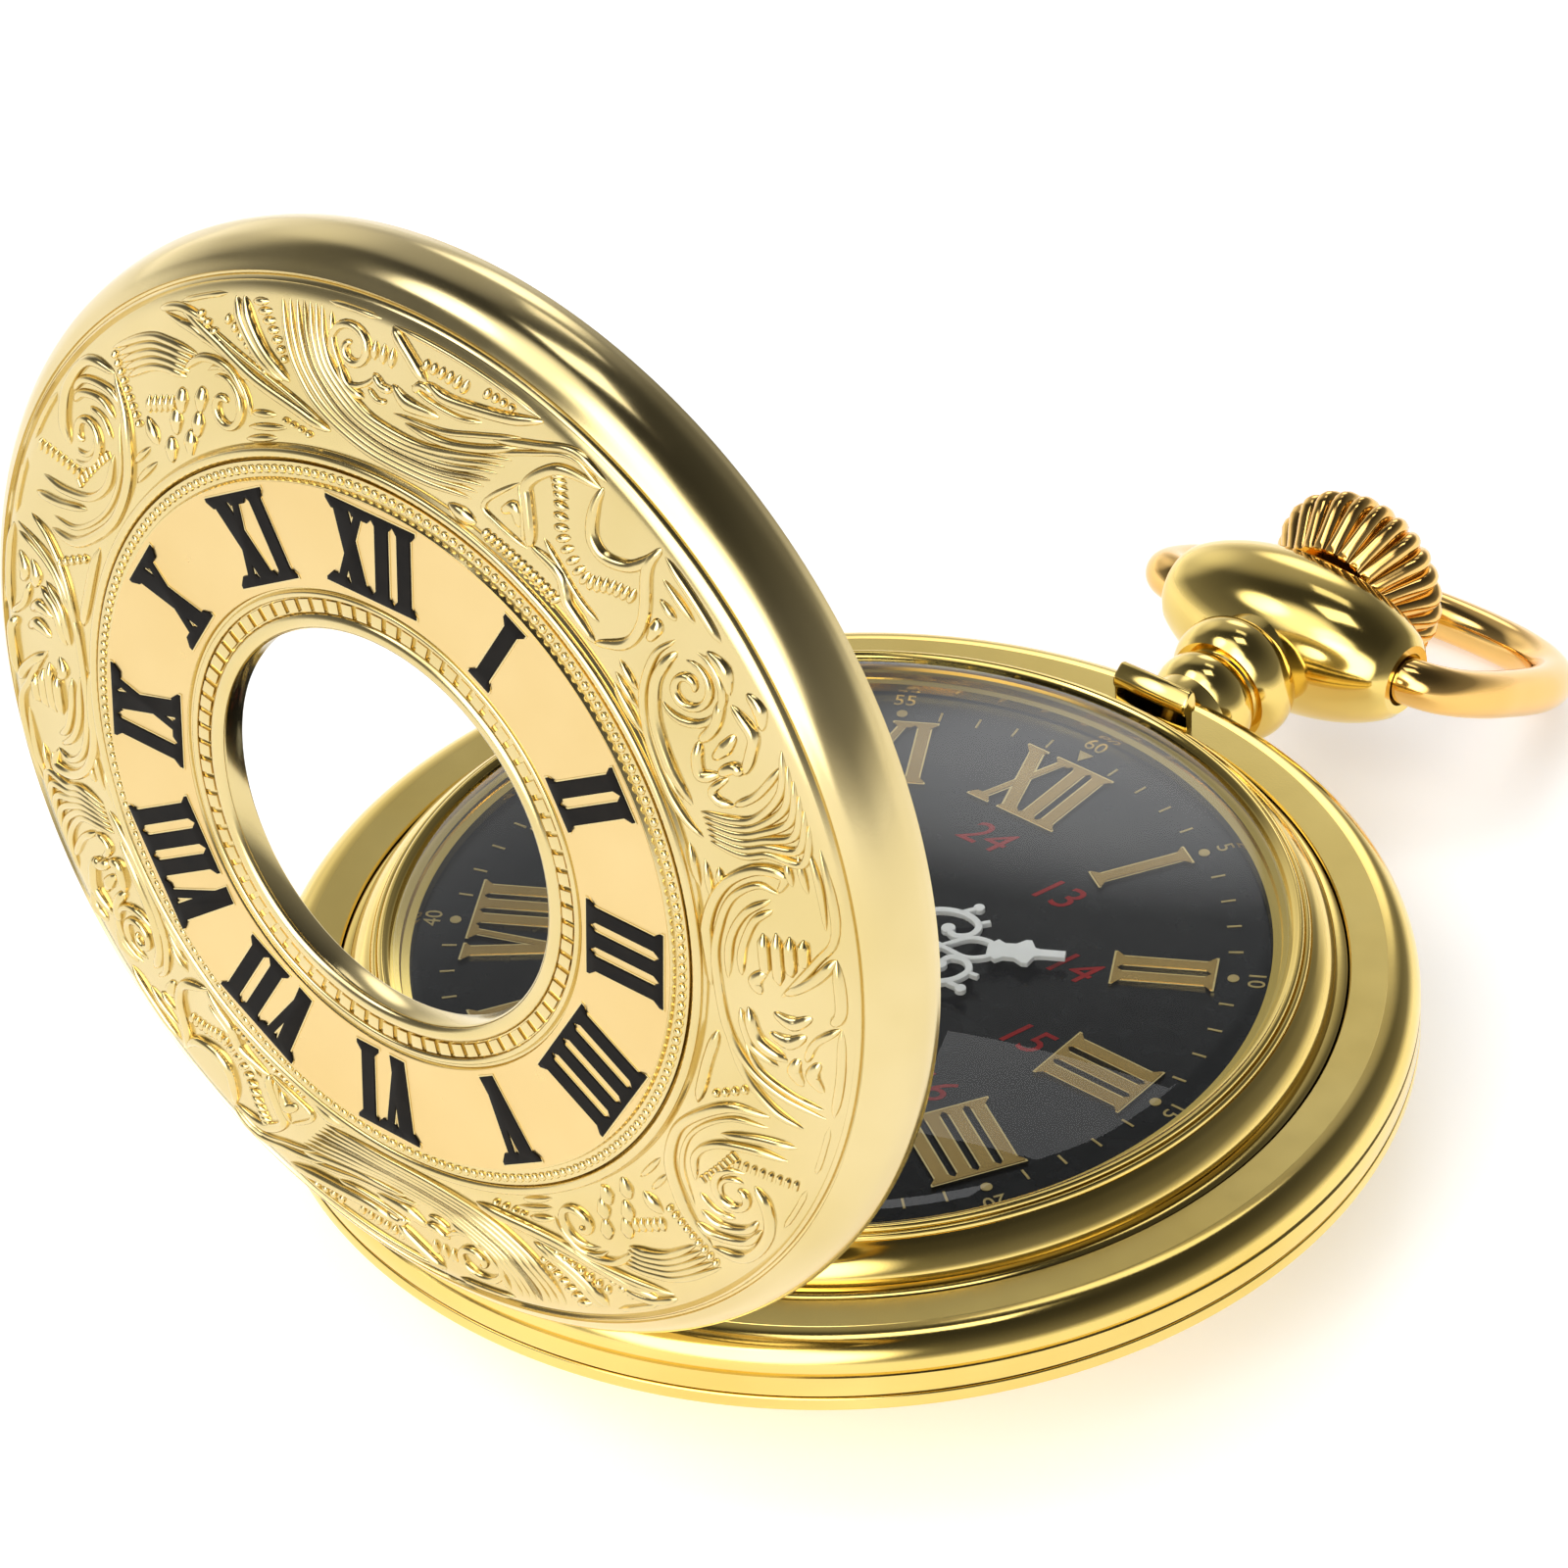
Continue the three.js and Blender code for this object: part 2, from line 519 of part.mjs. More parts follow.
// A flat spiral strip from the inner to the outer radius.
function spiral(innerRadius, outerRadius, turns, width, bottom, top, pointsPerTurn) {
  const edge = (side) => {
    const points = [];
    const count = turns * pointsPerTurn;
    for (let i = 0; i <= count; i++) {
      const radius = innerRadius + ((outerRadius - innerRadius) * i) / count + (side * width) / 2;
      const angle = (2 * Math.PI * i) / pointsPerTurn;
      points.push([radius * Math.cos(angle), radius * Math.sin(angle)]);
    }
    return points;
  };
  return slab(polygon([...edge(1), ...edge(-1).reverse()]), bottom, top);
}

function barrelArbor() {
  const profile = [
    [0, 2.65], [0.5, 2.65], [0.5, 3.2], [0.85, 3.2], [0.85, 5.2], [0.8, 5.2], [0.8, 6.3], [0, 6.3],
  ];
  return turned(profile, SMALL).translate(barrelAt.x, barrelAt.y, 0);
}

function ratchetWheel() {
  const wheel = cut(gear(ratchetAt.teeth, ratchetAt.pitchRadius, 4.5, 4.95), rod(0.9, 4, 6));
  return wheel.translate(ratchetAt.x, ratchetAt.y, 0);
}

function crownWheel() {
  const flat = gear(crownWheelAt.teeth, crownWheelAt.pitchRadius, 4.5, 4.95, { phase: crownWheelAt.phase });
  return cut(flat, rod(0.88, 4, 6)).translate(crownWheelAt.x, crownWheelAt.y, 0);
}

function click() {
  const outline = polygon([[-0.9, -0.8], [0.9, -0.8], [1, 0.6], [0.2, 1], [-1, 0.35]]);
  return cut(slab(outline, 4.55, 4.9), rod(0.48, 4, 6, 12)).translate(clickAt.x, clickAt.y, 0);
}

function clickSpring() {
  return slab(arcShape(14.15, 14.4, 18, 42), 4.55, 5.58, 4);
}

add("barrel", barrel(), brass);
const mainspring = spiral(1.2, 4.9, 3, 0.25, 3.7, 4.25, 12);
add("mainspring", mainspring.translate(barrelAt.x, barrelAt.y, 0), blueSteel);
add("barrel_arbor", barrelArbor(), steel);
add("ratchet_wheel", ratchetWheel(), steel);
add("crown_wheel", crownWheel(), steel);
add("click", click(), steel);
add("click_spring", clickSpring(), steel);

function centrePiece() {
  const lower = trainPiece({
    wheel: centreWheel,
    pinion: centrePinion,
    wheelZ: [5.05, 5.3],
    pinionZ: [3.4, 4.3],
    arbor: [0.3, 2.7, 5.2],
    axis: centreWheel,
  });
  return join(lower, rod(0.5, 4.2, 9.8, 12));
}

add("centre_wheel", centrePiece(), brass);
add("third_wheel", trainPiece({
  wheel: thirdWheel,
  pinion: thirdPinion,
  wheelZ: [4.45, 4.7],
  pinionZ: [4.6, 5.45],
  arbor: [0.3, 2.7, 6.2],
  axis: thirdWheel,
}), brass);
add("fourth_wheel", trainPiece({
  wheel: fourthWheel,
  pinion: fourthPinion,
  wheelZ: [3.7, 3.95],
  pinionZ: [3.8, 4.9],
  arbor: [0.3, 2.7, 6.2],
  axis: fourthWheel,
}), brass);

// The escape wheel's fifteen club teeth lean forward; its pinion meshes with the fourth wheel.
function escapeWheel() {
  const teeth = 15;
  const points = [];
  for (let i = 0; i < teeth; i++) {
    for (const [offset, radius] of [[-0.3, 2], [0.05, 2.6], [0.2, 2.55], [0.1, 2]]) {
      const angle = ((i + offset) * 2 * Math.PI) / teeth;
      points.push([radius * Math.cos(angle), radius * Math.sin(angle)]);
    }
  }
  const crossing = (start) => slab(arcShape(0.8, 1.6, start + 15, start + 105), 4, 6, 2);
  const crossings = [0, 120, 240].map(crossing);
  const wheel = cut(slab(polygon(points), 4.88, 5.08), ...crossings);
  const pinion = gear(6, 0.45, 3.5, 4.95, { phase: escapePinion.phase, depth: 0.26 });
  return join(wheel, pinion, rod(0.25, 2.7, 6.2, 8)).translate(escapePinion.x, escapePinion.y, 0);
}

// The lever: two pallet arms towards the escape wheel and a notched tail towards the balance.
function palletFork() {
  const outline = polygon([
    [-0.35, 1.9], [0.1, 1.9], [0.4, 0.4], [1.9, 0.25], [2.3, 0.45], [2.3, 0.22], [2, 0],
    [2.3, -0.22], [2.3, -0.45], [1.9, -0.25], [0.4, -0.4], [0.1, -1.9], [-0.35, -1.9], [-0.1, 0],
  ]);
  const lever = join(slab(outline, 4.85, 5.1), rod(0.28, 4.3, 6.2, 8));
  return lever.translate(palletAt.x, palletAt.y, 0);
}

function balanceWheel() {
  const rim = turned([[4, 3.9], [4.5, 3.9], [4.5, 4.3], [4, 4.3]], 24);
  const arms = box(-4.2, 4.2, -0.35, 0.35, 4, 4.2);
  const roller = join(rod(0.75, 4.5, 4.7, 12), rod(0.28, 2.7, 6.2, 8));
  return join(rim, arms, roller).translate(balanceAt.x, balanceAt.y, 0);
}

add("escape_wheel", escapeWheel(), steel);
add("pallet_fork", palletFork(), steel);
add("balance_wheel", balanceWheel(), brass);
const hairspring = spiral(0.55, 2.3, 3, 0.12, 3.35, 3.5, 10);
add("hairspring", hairspring.translate(balanceAt.x, balanceAt.y, 0), blueSteel);

// ---- motion work, dial and hands --------------------------------------------------------------------
function cannonPinion() {
  const leaves = gear(cannonAt.teeth, cannonAt.pitchRadius, 7.55, 7.85, { depth: 0.3 });
  const tube = rod(0.78, 7.5, 9.95, SMALL);
  return cut(join(leaves, tube), rod(0.56, 7, 9.82, 12));
}

function minuteWheel() {
  const { teeth, pitchRadius, phase } = minuteWheelAt;
  const wheel = gear(teeth, pitchRadius, 7.55, 7.8, { phase });
  const pinion = gear(minutePinionAt.teeth, minutePinionAt.pitchRadius, 7.7, 8.25, { depth: 0.26 });
  return cut(join(wheel, pinion), rod(0.36, 7, 9, 12)).translate(minuteWheelAt.x, minuteWheelAt.y, 0);
}

function hourWheel() {
  const wheel = gear(hourWheelAt.teeth, hourWheelAt.pitchRadius, 7.95, 8.2, { phase: hourWheelAt.phase });
  const pipe = rod(1.15, 8, 9.45, SMALL);
  return cut(join(wheel, pipe), rod(0.9, 7, 10, SMALL));
}

function settingWheel() {
  const { teeth, pitchRadius, phase } = settingWheelAt;
  const wheel = gear(teeth, pitchRadius, 7.55, 7.8, { phase });
  return cut(wheel, rod(0.36, 7, 9, 12)).translate(settingWheelAt.x, settingWheelAt.y, 0);
}

function dial() {
  const disc = rod(DIAL_RADIUS, 8.4, DIAL_TOP, ROUND);
  const feet = dialFeet.map((at) => rodAt(at, 0.42, 6.6, 8.5));
  return cut(join(disc, ...feet), rod(1.3, 8, 9, SMALL));
}

// A hand lies along +Y before it is turned clockwise to its time.
function hand(outline, openings, hub, bore, bottom, top, clockDegrees) {
  const blade = join(slab(outline, bottom, top), rod(hub, bottom, top, SMALL));
  const pierced = cut(blade, ...openings.map((opening) => slab(opening, bottom - 1, top + 1)));
  return cut(pierced, rod(bore, bottom - 1, top + 1, SMALL)).rotateZ(-rad(clockDegrees));
}

function hourHand() {
  const outline = polygon([
    [-0.45, 1], [-2.3, 2.6], [-2.4, 4], [-0.6, 5], [-0.9, 6.4], [-0.2, 7.3], [-0.2, 9.1],
    [0.2, 9.1], [0.2, 7.3], [0.9, 6.4], [0.6, 5], [2.4, 4], [2.3, 2.6], [0.45, 1],
  ]);
  const window = [[0.6, 2.2], [1.9, 2.8], [1.9, 3.7], [0.5, 4.3]];
  const openings = [-1, 1].map((side) => polygon(window.map(([x, y]) => [side * x, y])));
  return hand(outline, openings, 2, 1.21, 9.2, 9.42, HOUR_HAND_ANGLE);
}

function minuteHand() {
  const outline = polygon([
    [-0.4, 0.8], [-1.5, 3], [-1.7, 6.2], [-0.5, 8.4], [-0.8, 9.8], [-0.18, 11], [-0.15, 14.6],
    [0.15, 14.6], [0.18, 11], [0.8, 9.8], [0.5, 8.4], [1.7, 6.2], [1.5, 3], [0.4, 0.8],
  ]);
  const window = [[0.5, 3], [1.1, 3.6], [1.2, 6.1], [0.4, 7.3]];
  const openings = [-1, 1].map((side) => polygon(window.map(([x, y]) => [side * x, y])));
  return hand(outline, openings, 1.5, 0.83, 9.72, 9.92, MINUTE_HAND_ANGLE);
}

add("cannon_pinion", cannonPinion(), steel);
add("minute_wheel", minuteWheel(), brass);
add("hour_wheel", hourWheel(), brass);
add("setting_wheel", settingWheel(), steel);
add("dial", dial(), blackLacquer);
add("hour_hand", hourHand(), whiteLacquer);
add("minute_hand", minuteHand(), whiteLacquer);

export default watch;
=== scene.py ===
"""Looks of the hunter pocket watch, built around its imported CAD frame.

Lengths are in millimetres until a mesh is made.
"""

import json
import math

import bmesh
import bpy
import numpy as np
from mathutils import Matrix, Vector, geometry


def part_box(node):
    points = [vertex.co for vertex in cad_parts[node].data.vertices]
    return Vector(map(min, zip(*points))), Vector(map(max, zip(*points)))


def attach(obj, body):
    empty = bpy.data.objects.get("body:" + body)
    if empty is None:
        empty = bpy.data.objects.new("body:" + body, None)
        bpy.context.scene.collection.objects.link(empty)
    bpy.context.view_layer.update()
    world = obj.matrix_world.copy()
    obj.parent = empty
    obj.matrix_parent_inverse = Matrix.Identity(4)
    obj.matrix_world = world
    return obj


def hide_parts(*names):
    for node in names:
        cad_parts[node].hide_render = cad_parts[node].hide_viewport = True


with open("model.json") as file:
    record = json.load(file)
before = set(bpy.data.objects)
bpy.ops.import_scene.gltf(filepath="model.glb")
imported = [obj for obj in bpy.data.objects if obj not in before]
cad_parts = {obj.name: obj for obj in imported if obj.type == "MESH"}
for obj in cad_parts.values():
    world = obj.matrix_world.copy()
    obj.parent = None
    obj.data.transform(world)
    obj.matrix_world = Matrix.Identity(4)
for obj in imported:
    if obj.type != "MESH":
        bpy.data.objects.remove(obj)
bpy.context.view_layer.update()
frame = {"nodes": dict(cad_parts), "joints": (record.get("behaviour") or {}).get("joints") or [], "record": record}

MM = 0.001
TURN = 2 * math.pi


# ---- sizes read from the frame ----
def low(node):
    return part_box(node)[0] / MM


def high(node):
    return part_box(node)[1] / MM


def joint(name):
    return next(j for j in frame["joints"] if j["name"] == name)


def joint_place(name):
    return Vector(joint(name)["pos_m"]) / MM


CASE_RADIUS = high("case_middle").x
SEAM = high("back_cover").z
LEDGE = high("bezel").z - 1.95
DIAL_TOP = high("dial").z
DIAL_RADIUS = high("dial").x
GLASS_TOP = high("crystal").z
GLASS_RADIUS = high("crystal").x
LID_RADIUS = high("front_cover").x
HINGE = joint_place("lid_hinge")
LID_OPENING = -joint("lid_hinge")["range_deg"][0]
BOW_PIVOT = joint_place("bow_swing")
BOW_DROOP = -30
STEM_Z = joint_place("crown_turn").z
CROWN_Y = (low("crown").y, high("crown").y)
CROWN_RADIUS = high("crown").x
HOUR_HAND_Z = (low("hour_hand").z, high("hour_hand").z)
MINUTE_HAND_Z = (low("minute_hand").z, high("minute_hand").z)

LID_PLACE = (
    Matrix.Translation(HINGE)
    @ Matrix.Rotation(math.radians(LID_OPENING), 4, "X")
    @ Matrix.Translation(-HINGE)
)
ON_COVER = ("front_cover", "case_gold", LID_PLACE)  # body, slot and place of the cover's gold pieces
BOW_PLACE = Matrix.Translation(BOW_PIVOT) @ Matrix.Rotation(math.radians(BOW_DROOP), 4, "X")

# ---- driving sizes of the looks ----
HOUR_HAND_ANGLE = 60
MINUTE_HAND_ANGLE = 312
LID_TOP = 13.2  # chapter band of the closed front cover
FIELD_OUTER = 20.7  # chased field of the front cover
FIELD_INNER = 15.2
WINDOW_RADIUS = 8
MID_RADIUS = 18  # middle of the chased field
BACK_FLAT = 11  # radius of the flat middle of the back
BACK_RISE = 5.22  # how far the back's bowl climbs to its edge
BACK_RIB = 19.8  # radius of the fine rib around the back
LEDGE_INNER = 20.6  # inner edge of the flat ledge around the bezel
BULB_RADIUS = 3.4
BULB_LENGTH = 6.9  # half length of the full ellipse, beyond the flats that hold the bow
PENDANT_END = 33.0  # the flat end of the bulb, clear of the crown when that is pressed in
HAND_OUTWARD = 1.3  # how far out along a hand its openwork sits
SHARP_ANGLE = math.radians(38)


# ---- mesh helpers ----
def add_object(name, data):
    made = bpy.data.objects.new(name, data)
    bpy.context.scene.collection.objects.link(made)
    return made


def finish_mesh(mesh):
    """Outward normals, smooth faces, and sharp edges where the surface really turns."""
    bm = bmesh.new()
    bm.from_mesh(mesh)
    bmesh.ops.recalc_face_normals(bm, faces=bm.faces)
    for face in bm.faces:
        face.smooth = True
    for edge in bm.edges:
        edge.smooth = not (edge.is_manifold and edge.calc_face_angle(0) > SHARP_ANGLE)
    bm.to_mesh(mesh)
    bm.free()


def thicken(bm, height):
    """Raises a flat mesh into a plate."""
    raised = bmesh.ops.extrude_face_region(bm, geom=bm.faces[:])["geom"]
    lifted = [g for g in raised if isinstance(g, bmesh.types.BMVert)]
    bmesh.ops.translate(bm, vec=(0, 0, height), verts=lifted)


def join_rings(ring_count, count, last):
    """Four-sided faces from each of the first rings to the next. After the last ring comes the first."""
    faces = []
    for i in range(last):
        a, b = i * count, ((i + 1) % ring_count) * count
        for k in range(count):
            n = (k + 1) % count
            faces.append((a + k, a + n, b + n, b + k))
    return faces


class Solid:
    """Vertices and faces collected from several closed forms."""

    def __init__(self):
        self.vertices = []
        self.faces = []

    def add(self, vertices, faces):
        start = len(self.vertices)
        self.vertices.extend([tuple(v) for v in vertices])
        self.faces.extend([tuple(start + i for i in f) for f in faces])
        return self

    def loft(self, rings):
        """Joins equal rings of points, each ring closed on itself, and caps the ends."""
        count = len(rings[0])
        vertices = [p for ring in rings for p in ring]
        faces = join_rings(len(rings), count, len(rings) - 1)
        faces.append(tuple(range(count)))
        faces.append(tuple(range(len(vertices) - 1, len(vertices) - 1 - count, -1)))
        return self.add(vertices, faces)

    def turned(self, profile, segments, axis="Z", centre=(0, 0, 0)):
        """A closed profile of (radius, height) turned about an axis."""
        angles = np.arange(segments) * TURN / segments
        on_axis = profile[0][0] == 0
        inner = profile[1:-1] if on_axis else profile
        rings = []
        for radius, height in inner:
            x = radius * np.cos(angles)
            y = radius * np.sin(angles)
            rings.append(np.stack([x, y, np.full(segments, height)], -1))
        vertices = np.concatenate(rings)
        last = len(rings) - 1 if on_axis else len(rings)
        faces = join_rings(len(rings), segments, last)
        if on_axis:
            tips = np.array([[0, 0, profile[0][1]], [0, 0, profile[-1][1]]])
            vertices = np.concatenate([vertices, tips])
            first, final = len(vertices) - 2, len(vertices) - 1
            for k in range(segments):
                n = (k + 1) % segments
                faces.append((first, n, k))
                faces.append((final, (last * segments) + k, (last * segments) + n))
        turn = {"Z": (0, 1, 2), "X": (2, 0, 1), "Y": (1, 2, 0)}[axis]
        return self.add(vertices[:, turn] + np.array(centre), faces)

    def tube(self, path, radius, sides):
        """A round wire along a path of points."""
        ahead = np.gradient(path, axis=0)
        ahead /= np.linalg.norm(ahead, axis=1)[:, None]
        side = np.cross(ahead, (0, 0, 1.0))
        side /= np.linalg.norm(side, axis=1)[:, None]
        up = np.cross(side, ahead)
        angles = np.arange(sides)[:, None] * TURN / sides
        rings = [p + radius * (np.cos(angles) * s + np.sin(angles) * u) for p, s, u in zip(path, side, up)]
        return self.loft(rings)

    def prism(self, polygons, bottom, top, bevel, place):
        """The union of flat polygons, raised from bottom to top with a bevelled upper edge."""
        points, loops = [], []
        for polygon in polygons:
            loops.append(list(range(len(points), len(points) + len(polygon))))
            points.extend(Vector(p) for p in anticlockwise(polygon))
        found = geometry.delaunay_2d_cdt(points, [], loops, 1, 1e-4)
        bm = bmesh.new()
        made = [bm.verts.new((p.x, p.y, bottom)) for p in found[0]]
        for face, origin in zip(found[2], found[5]):
            if origin:
                bm.faces.new([made[i] for i in face])
        loose = [v for v in bm.verts if not v.link_faces]
        bmesh.ops.delete(bm, geom=loose, context="VERTS")
        thicken(bm, top - bottom)
        bmesh.ops.recalc_face_normals(bm, faces=bm.faces)
        if bevel:
            rim = [e for e in bm.edges if is_upper_rim(e, top)]
            bmesh.ops.bevel(bm, geom=rim, offset=bevel, segments=2, affect="EDGES", profile=0.6)
        bm.transform(place)
        self.take(bm)

    def take(self, bm):
        bm.verts.index_update()
        self.add([v.co[:] for v in bm.verts], [[v.index for v in f.verts] for f in bm.faces])
        bm.free()

    def piece(self, name, material, body, slot, place=None, replaces=()):
        """Makes the mesh piece, riding on a body."""
        points = np.array(self.vertices, float)
        if place is not None:
            matrix = np.array(place)
            points = points @ matrix[:3, :3].T + matrix[:3, 3]
        mesh = bpy.data.meshes.new(name)
        mesh.from_pydata((points * MM).tolist(), [], self.faces)
        finish_mesh(mesh)
        mesh.materials.append(material)
        piece = add_object(name, mesh)
        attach(piece, body)
        if replaces:
            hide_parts(*replaces)


def anticlockwise(polygon):
    following = list(polygon[1:]) + [polygon[0]]
    area = sum(a[0] * b[1] - b[0] * a[1] for a, b in zip(polygon, following))
    return list(polygon) if area > 0 else list(reversed(polygon))


def is_upper_rim(edge, top):
    on_top = all(abs(v.co.z - top) < 1e-6 for v in edge.verts)
    return on_top and len(edge.link_faces) == 2 and edge.calc_face_angle(0) > 1


def arc(centre_r, centre_z, radius, start, stop, count):
    """Points of a circular arc in a profile, from start to stop degrees."""
    angles = np.radians(np.linspace(start, stop, count))
    return [(centre_r + radius * math.cos(a), centre_z + radius * math.sin(a)) for a in angles]


def smooth_line(points, count):
    """A Catmull-Rom curve through the points, count steps from each to the next."""
    points = np.asarray(points, float)
    ends = [2 * points[0] - points[1], 2 * points[-1] - points[-2]]
    padded = np.concatenate([ends[:1], points, ends[1:]])
    steps = np.linspace(0, 1, count, endpoint=False)[:, None]
    curve = []
    for p0, p1, p2, p3 in zip(padded, padded[1:], padded[2:], padded[3:]):
        bend = 2 * p0 - 5 * p1 + 4 * p2 - p3
        twist = 3 * p1 - p0 - 3 * p2 + p3
        curve.append(0.5 * (2 * p1 + (p2 - p0) * steps + bend * steps**2 + twist * steps**3))
    curve.append(points[-1:])
    return np.concatenate(curve)


def on_clock(degrees, radius, z=0.0):
    """Places a flat form with its top outwards, at degrees clockwise from 12 and a radius."""
    turn = Matrix.Rotation(-math.radians(degrees), 4, "Z")
    return turn @ Matrix.Translation((0, radius, z))


# ---- materials ----
def feed(tree, node, inputs):
    """Sets a node's inputs, each to a value or to another node's output."""
    for key, value in inputs.items():
        if isinstance(value, bpy.types.NodeSocket):
            tree.links.new(value, node.inputs[key])
        else:
            node.inputs[key].default_value = value


def add_node(tree, kind, inputs, **settings):
    """Adds a node and returns its outputs."""
    node = tree.nodes.new("ShaderNode" + kind)
    for name, value in settings.items():
        setattr(node, name, value)
    feed(tree, node, inputs)
    return node.outputs


def node_material(name):
    material = bpy.data.materials.new(name)
    material.use_nodes = True
    tree = material.node_tree
    return material, tree, tree.nodes["Principled BSDF"]


def noise(tree, scale, detail, stretch=(1, 1, 1)):
    """Noise in object space. scale is in features per metre."""
    place = add_node(tree, "TexCoord", {})["Object"]
    place = add_node(tree, "Mapping", {"Vector": place, "Scale": stretch})["Vector"]
    return add_node(tree, "TexNoise", {"Vector": place, "Scale": scale, "Detail": detail})["Fac"]


def spread(tree, value, low_value, high_value):
    """Maps a 0 to 1 value onto a range."""
    return add_node(tree, "MapRange", {"Value": value, "To Min": low_value, "To Max": high_value})["Result"]


def tint(tree, value, first, second):
    """Fades from the first colour to the second over the middle of a 0 to 1 value."""
    ramp = tree.nodes.new("ShaderNodeValToRGB")
    for element, position, colour in zip(ramp.color_ramp.elements, (0.3, 0.7), (first, second)):
        element.position = position
        element.color = (*colour, 1)
    feed(tree, ramp, {"Fac": value})
    return ramp.outputs["Color"]


def bump(tree, value, height):
    return add_node(tree, "Bump", {"Strength": 1, "Distance": height * MM, "Height": value})["Normal"]


def metal(name, dark, light, roughness, grain=0.0, grain_scale=9000, stretch=(1, 1, 1)):
    """Plated or polished metal: faint cloudy tint, uneven polish and fine scratches."""
    material, tree, shader = node_material(name)
    polish = spread(tree, noise(tree, 700, 4), roughness * 0.75, roughness * 1.3)
    colour = tint(tree, noise(tree, 160, 2), dark, light)
    feed(tree, shader, {"Metallic": 1, "Base Color": colour, "Roughness": polish})
    if grain:
        feed(tree, shader, {"Normal": bump(tree, noise(tree, grain_scale, 2, stretch), grain)})
    return material


def lacquer(name, first, second, roughness, gloss, grain=0.0001):
    """Paint or enamel: faint cloudy tint and gloss, with a fine grain unless grain is 0."""
    material, tree, shader = node_material(name)
    cloud = noise(tree, 900, 4)
    polish = spread(tree, cloud, roughness * 0.8, roughness * 1.2)
    colour = tint(tree, cloud, first, second)
    feed(tree, shader, {"Base Color": colour, "Roughness": polish, "Specular IOR Level": gloss})
    if grain:
        feed(tree, shader, {"Normal": bump(tree, noise(tree, 6000, 2), grain)})
    return material


def clear_glass(name):
    """Clear glass: see-through, with a mirror reflection on its outer side that grows towards the edge."""
    material, tree, shader = node_material(name)
    tree.nodes.remove(shader)
    clear = add_node(tree, "BsdfTransparent", {"Color": (0.97, 0.98, 0.97, 1)})["BSDF"]
    smear = tint(tree, noise(tree, 300, 3), (0.92, 0.93, 0.95), (1.0, 1.0, 1.0))
    mirror = add_node(tree, "BsdfGlossy", {"Color": smear, "Roughness": 0})["BSDF"]
    fresnel = add_node(tree, "Fresnel", {"IOR": 1.42})["Fac"]
    inside = add_node(tree, "NewGeometry", {})["Backfacing"]
    outside = add_node(tree, "Math", {0: 1, 1: inside}, operation="SUBTRACT")["Value"]
    strength = add_node(tree, "Math", {0: fresnel, 1: outside}, operation="MULTIPLY")["Value"]
    mix = add_node(tree, "MixShader", {"Fac": strength, 1: clear, 2: mirror})["Shader"]
    feed(tree, tree.nodes["Material Output"], {"Surface": mix})
    return material


# Each metal: its two tints, roughness, then the height of its grain in mm, its scale and its stretch.
gold = metal("gold_polished", (0.82, 0.60, 0.17), (0.89, 0.67, 0.22), 0.11, 0.0003)
pale_gold = metal("gold_cover", (0.70, 0.555, 0.245), (0.76, 0.615, 0.31), 0.15, 0.0005)
satin_gold = metal("gold_satin", (0.755, 0.55, 0.235), (0.795, 0.595, 0.275), 0.30, 0.0012, 14000)
ledge_gold = metal("gold_brushed", (0.73, 0.55, 0.165), (0.80, 0.62, 0.21), 0.22, 0.001, 12000, (1, 1, 0.2))
rose_gold = metal("gold_rose", (0.88, 0.53, 0.15), (0.94, 0.61, 0.21), 0.11, 0.0003)
# The dial numerals' face is a dark gold as painted shade, and their edge a light gold as a painted highlight: two
# tints of one gold.
numeral_gold_painted_shade = metal("gold_numerals_painted_shade", (0.38, 0.25, 0.08), (0.50, 0.34, 0.13), 0.24, 0.001)
edge_gold = metal("gold_numeral_edges_painted_highlight", (0.86, 0.66, 0.30), (0.92, 0.74, 0.38), 0.15)
print_gold = metal("gold_print", (0.50, 0.38, 0.16), (0.60, 0.47, 0.22), 0.4, 0.0006)
steel = metal("steel_fine", (0.56, 0.57, 0.58), (0.66, 0.67, 0.68), 0.28, 0.0012, 9000, (1, 8, 1))
blued_steel = metal("steel_blued", (0.03, 0.06, 0.22), (0.06, 0.10, 0.32), 0.2, 0.0005)
brass = metal("brass_movement", (0.62, 0.45, 0.16), (0.72, 0.54, 0.22), 0.32, 0.0012)
nickel = metal("nickel_plate", (0.60, 0.60, 0.57), (0.70, 0.70, 0.67), 0.3, 0.0015, 5000, (1, 6, 1))
# Each lacquer: its two tints, roughness, gloss, then the height of its grain in mm.
dial_black = lacquer("dial_lacquer", (0.006, 0.006, 0.007), (0.011, 0.011, 0.013), 0.2, 0.2, 0.0)
enamel_black = lacquer("numeral_enamel", (0.004, 0.003, 0.002), (0.008, 0.006, 0.004), 0.3, 0.08)
red_print = lacquer("red_print", (0.24, 0.008, 0.010), (0.32, 0.014, 0.014), 0.4, 0.1)
white_paint = lacquer("hand_lacquer", (0.86, 0.86, 0.88), (0.92, 0.92, 0.94), 0.3, 0.4)
glass = clear_glass("crystal_glass")

SLOT_MATERIALS = {
    "case_gold": gold,
    "rose_gold": rose_gold,
    "steel": steel,
    "blued_steel": blued_steel,
    "brass": brass,
    "nickel": nickel,
    "black_lacquer": dial_black,
    "white_lacquer": white_paint,
    "crystal_glass": glass,
}


def dress_cad_nodes():
    for entry in frame["record"]["subparts"]:
        node = frame["nodes"][entry["node"]]
        node.data.materials.clear()
        node.data.materials.append(SLOT_MATERIALS[entry["material_slot"]])


# ---- case ----
def back_height(radius):
    """Height of the back cover's outside at a radius."""
    return BACK_RISE * max(0.0, (radius - BACK_FLAT) / (CASE_RADIUS - BACK_FLAT)) ** 2


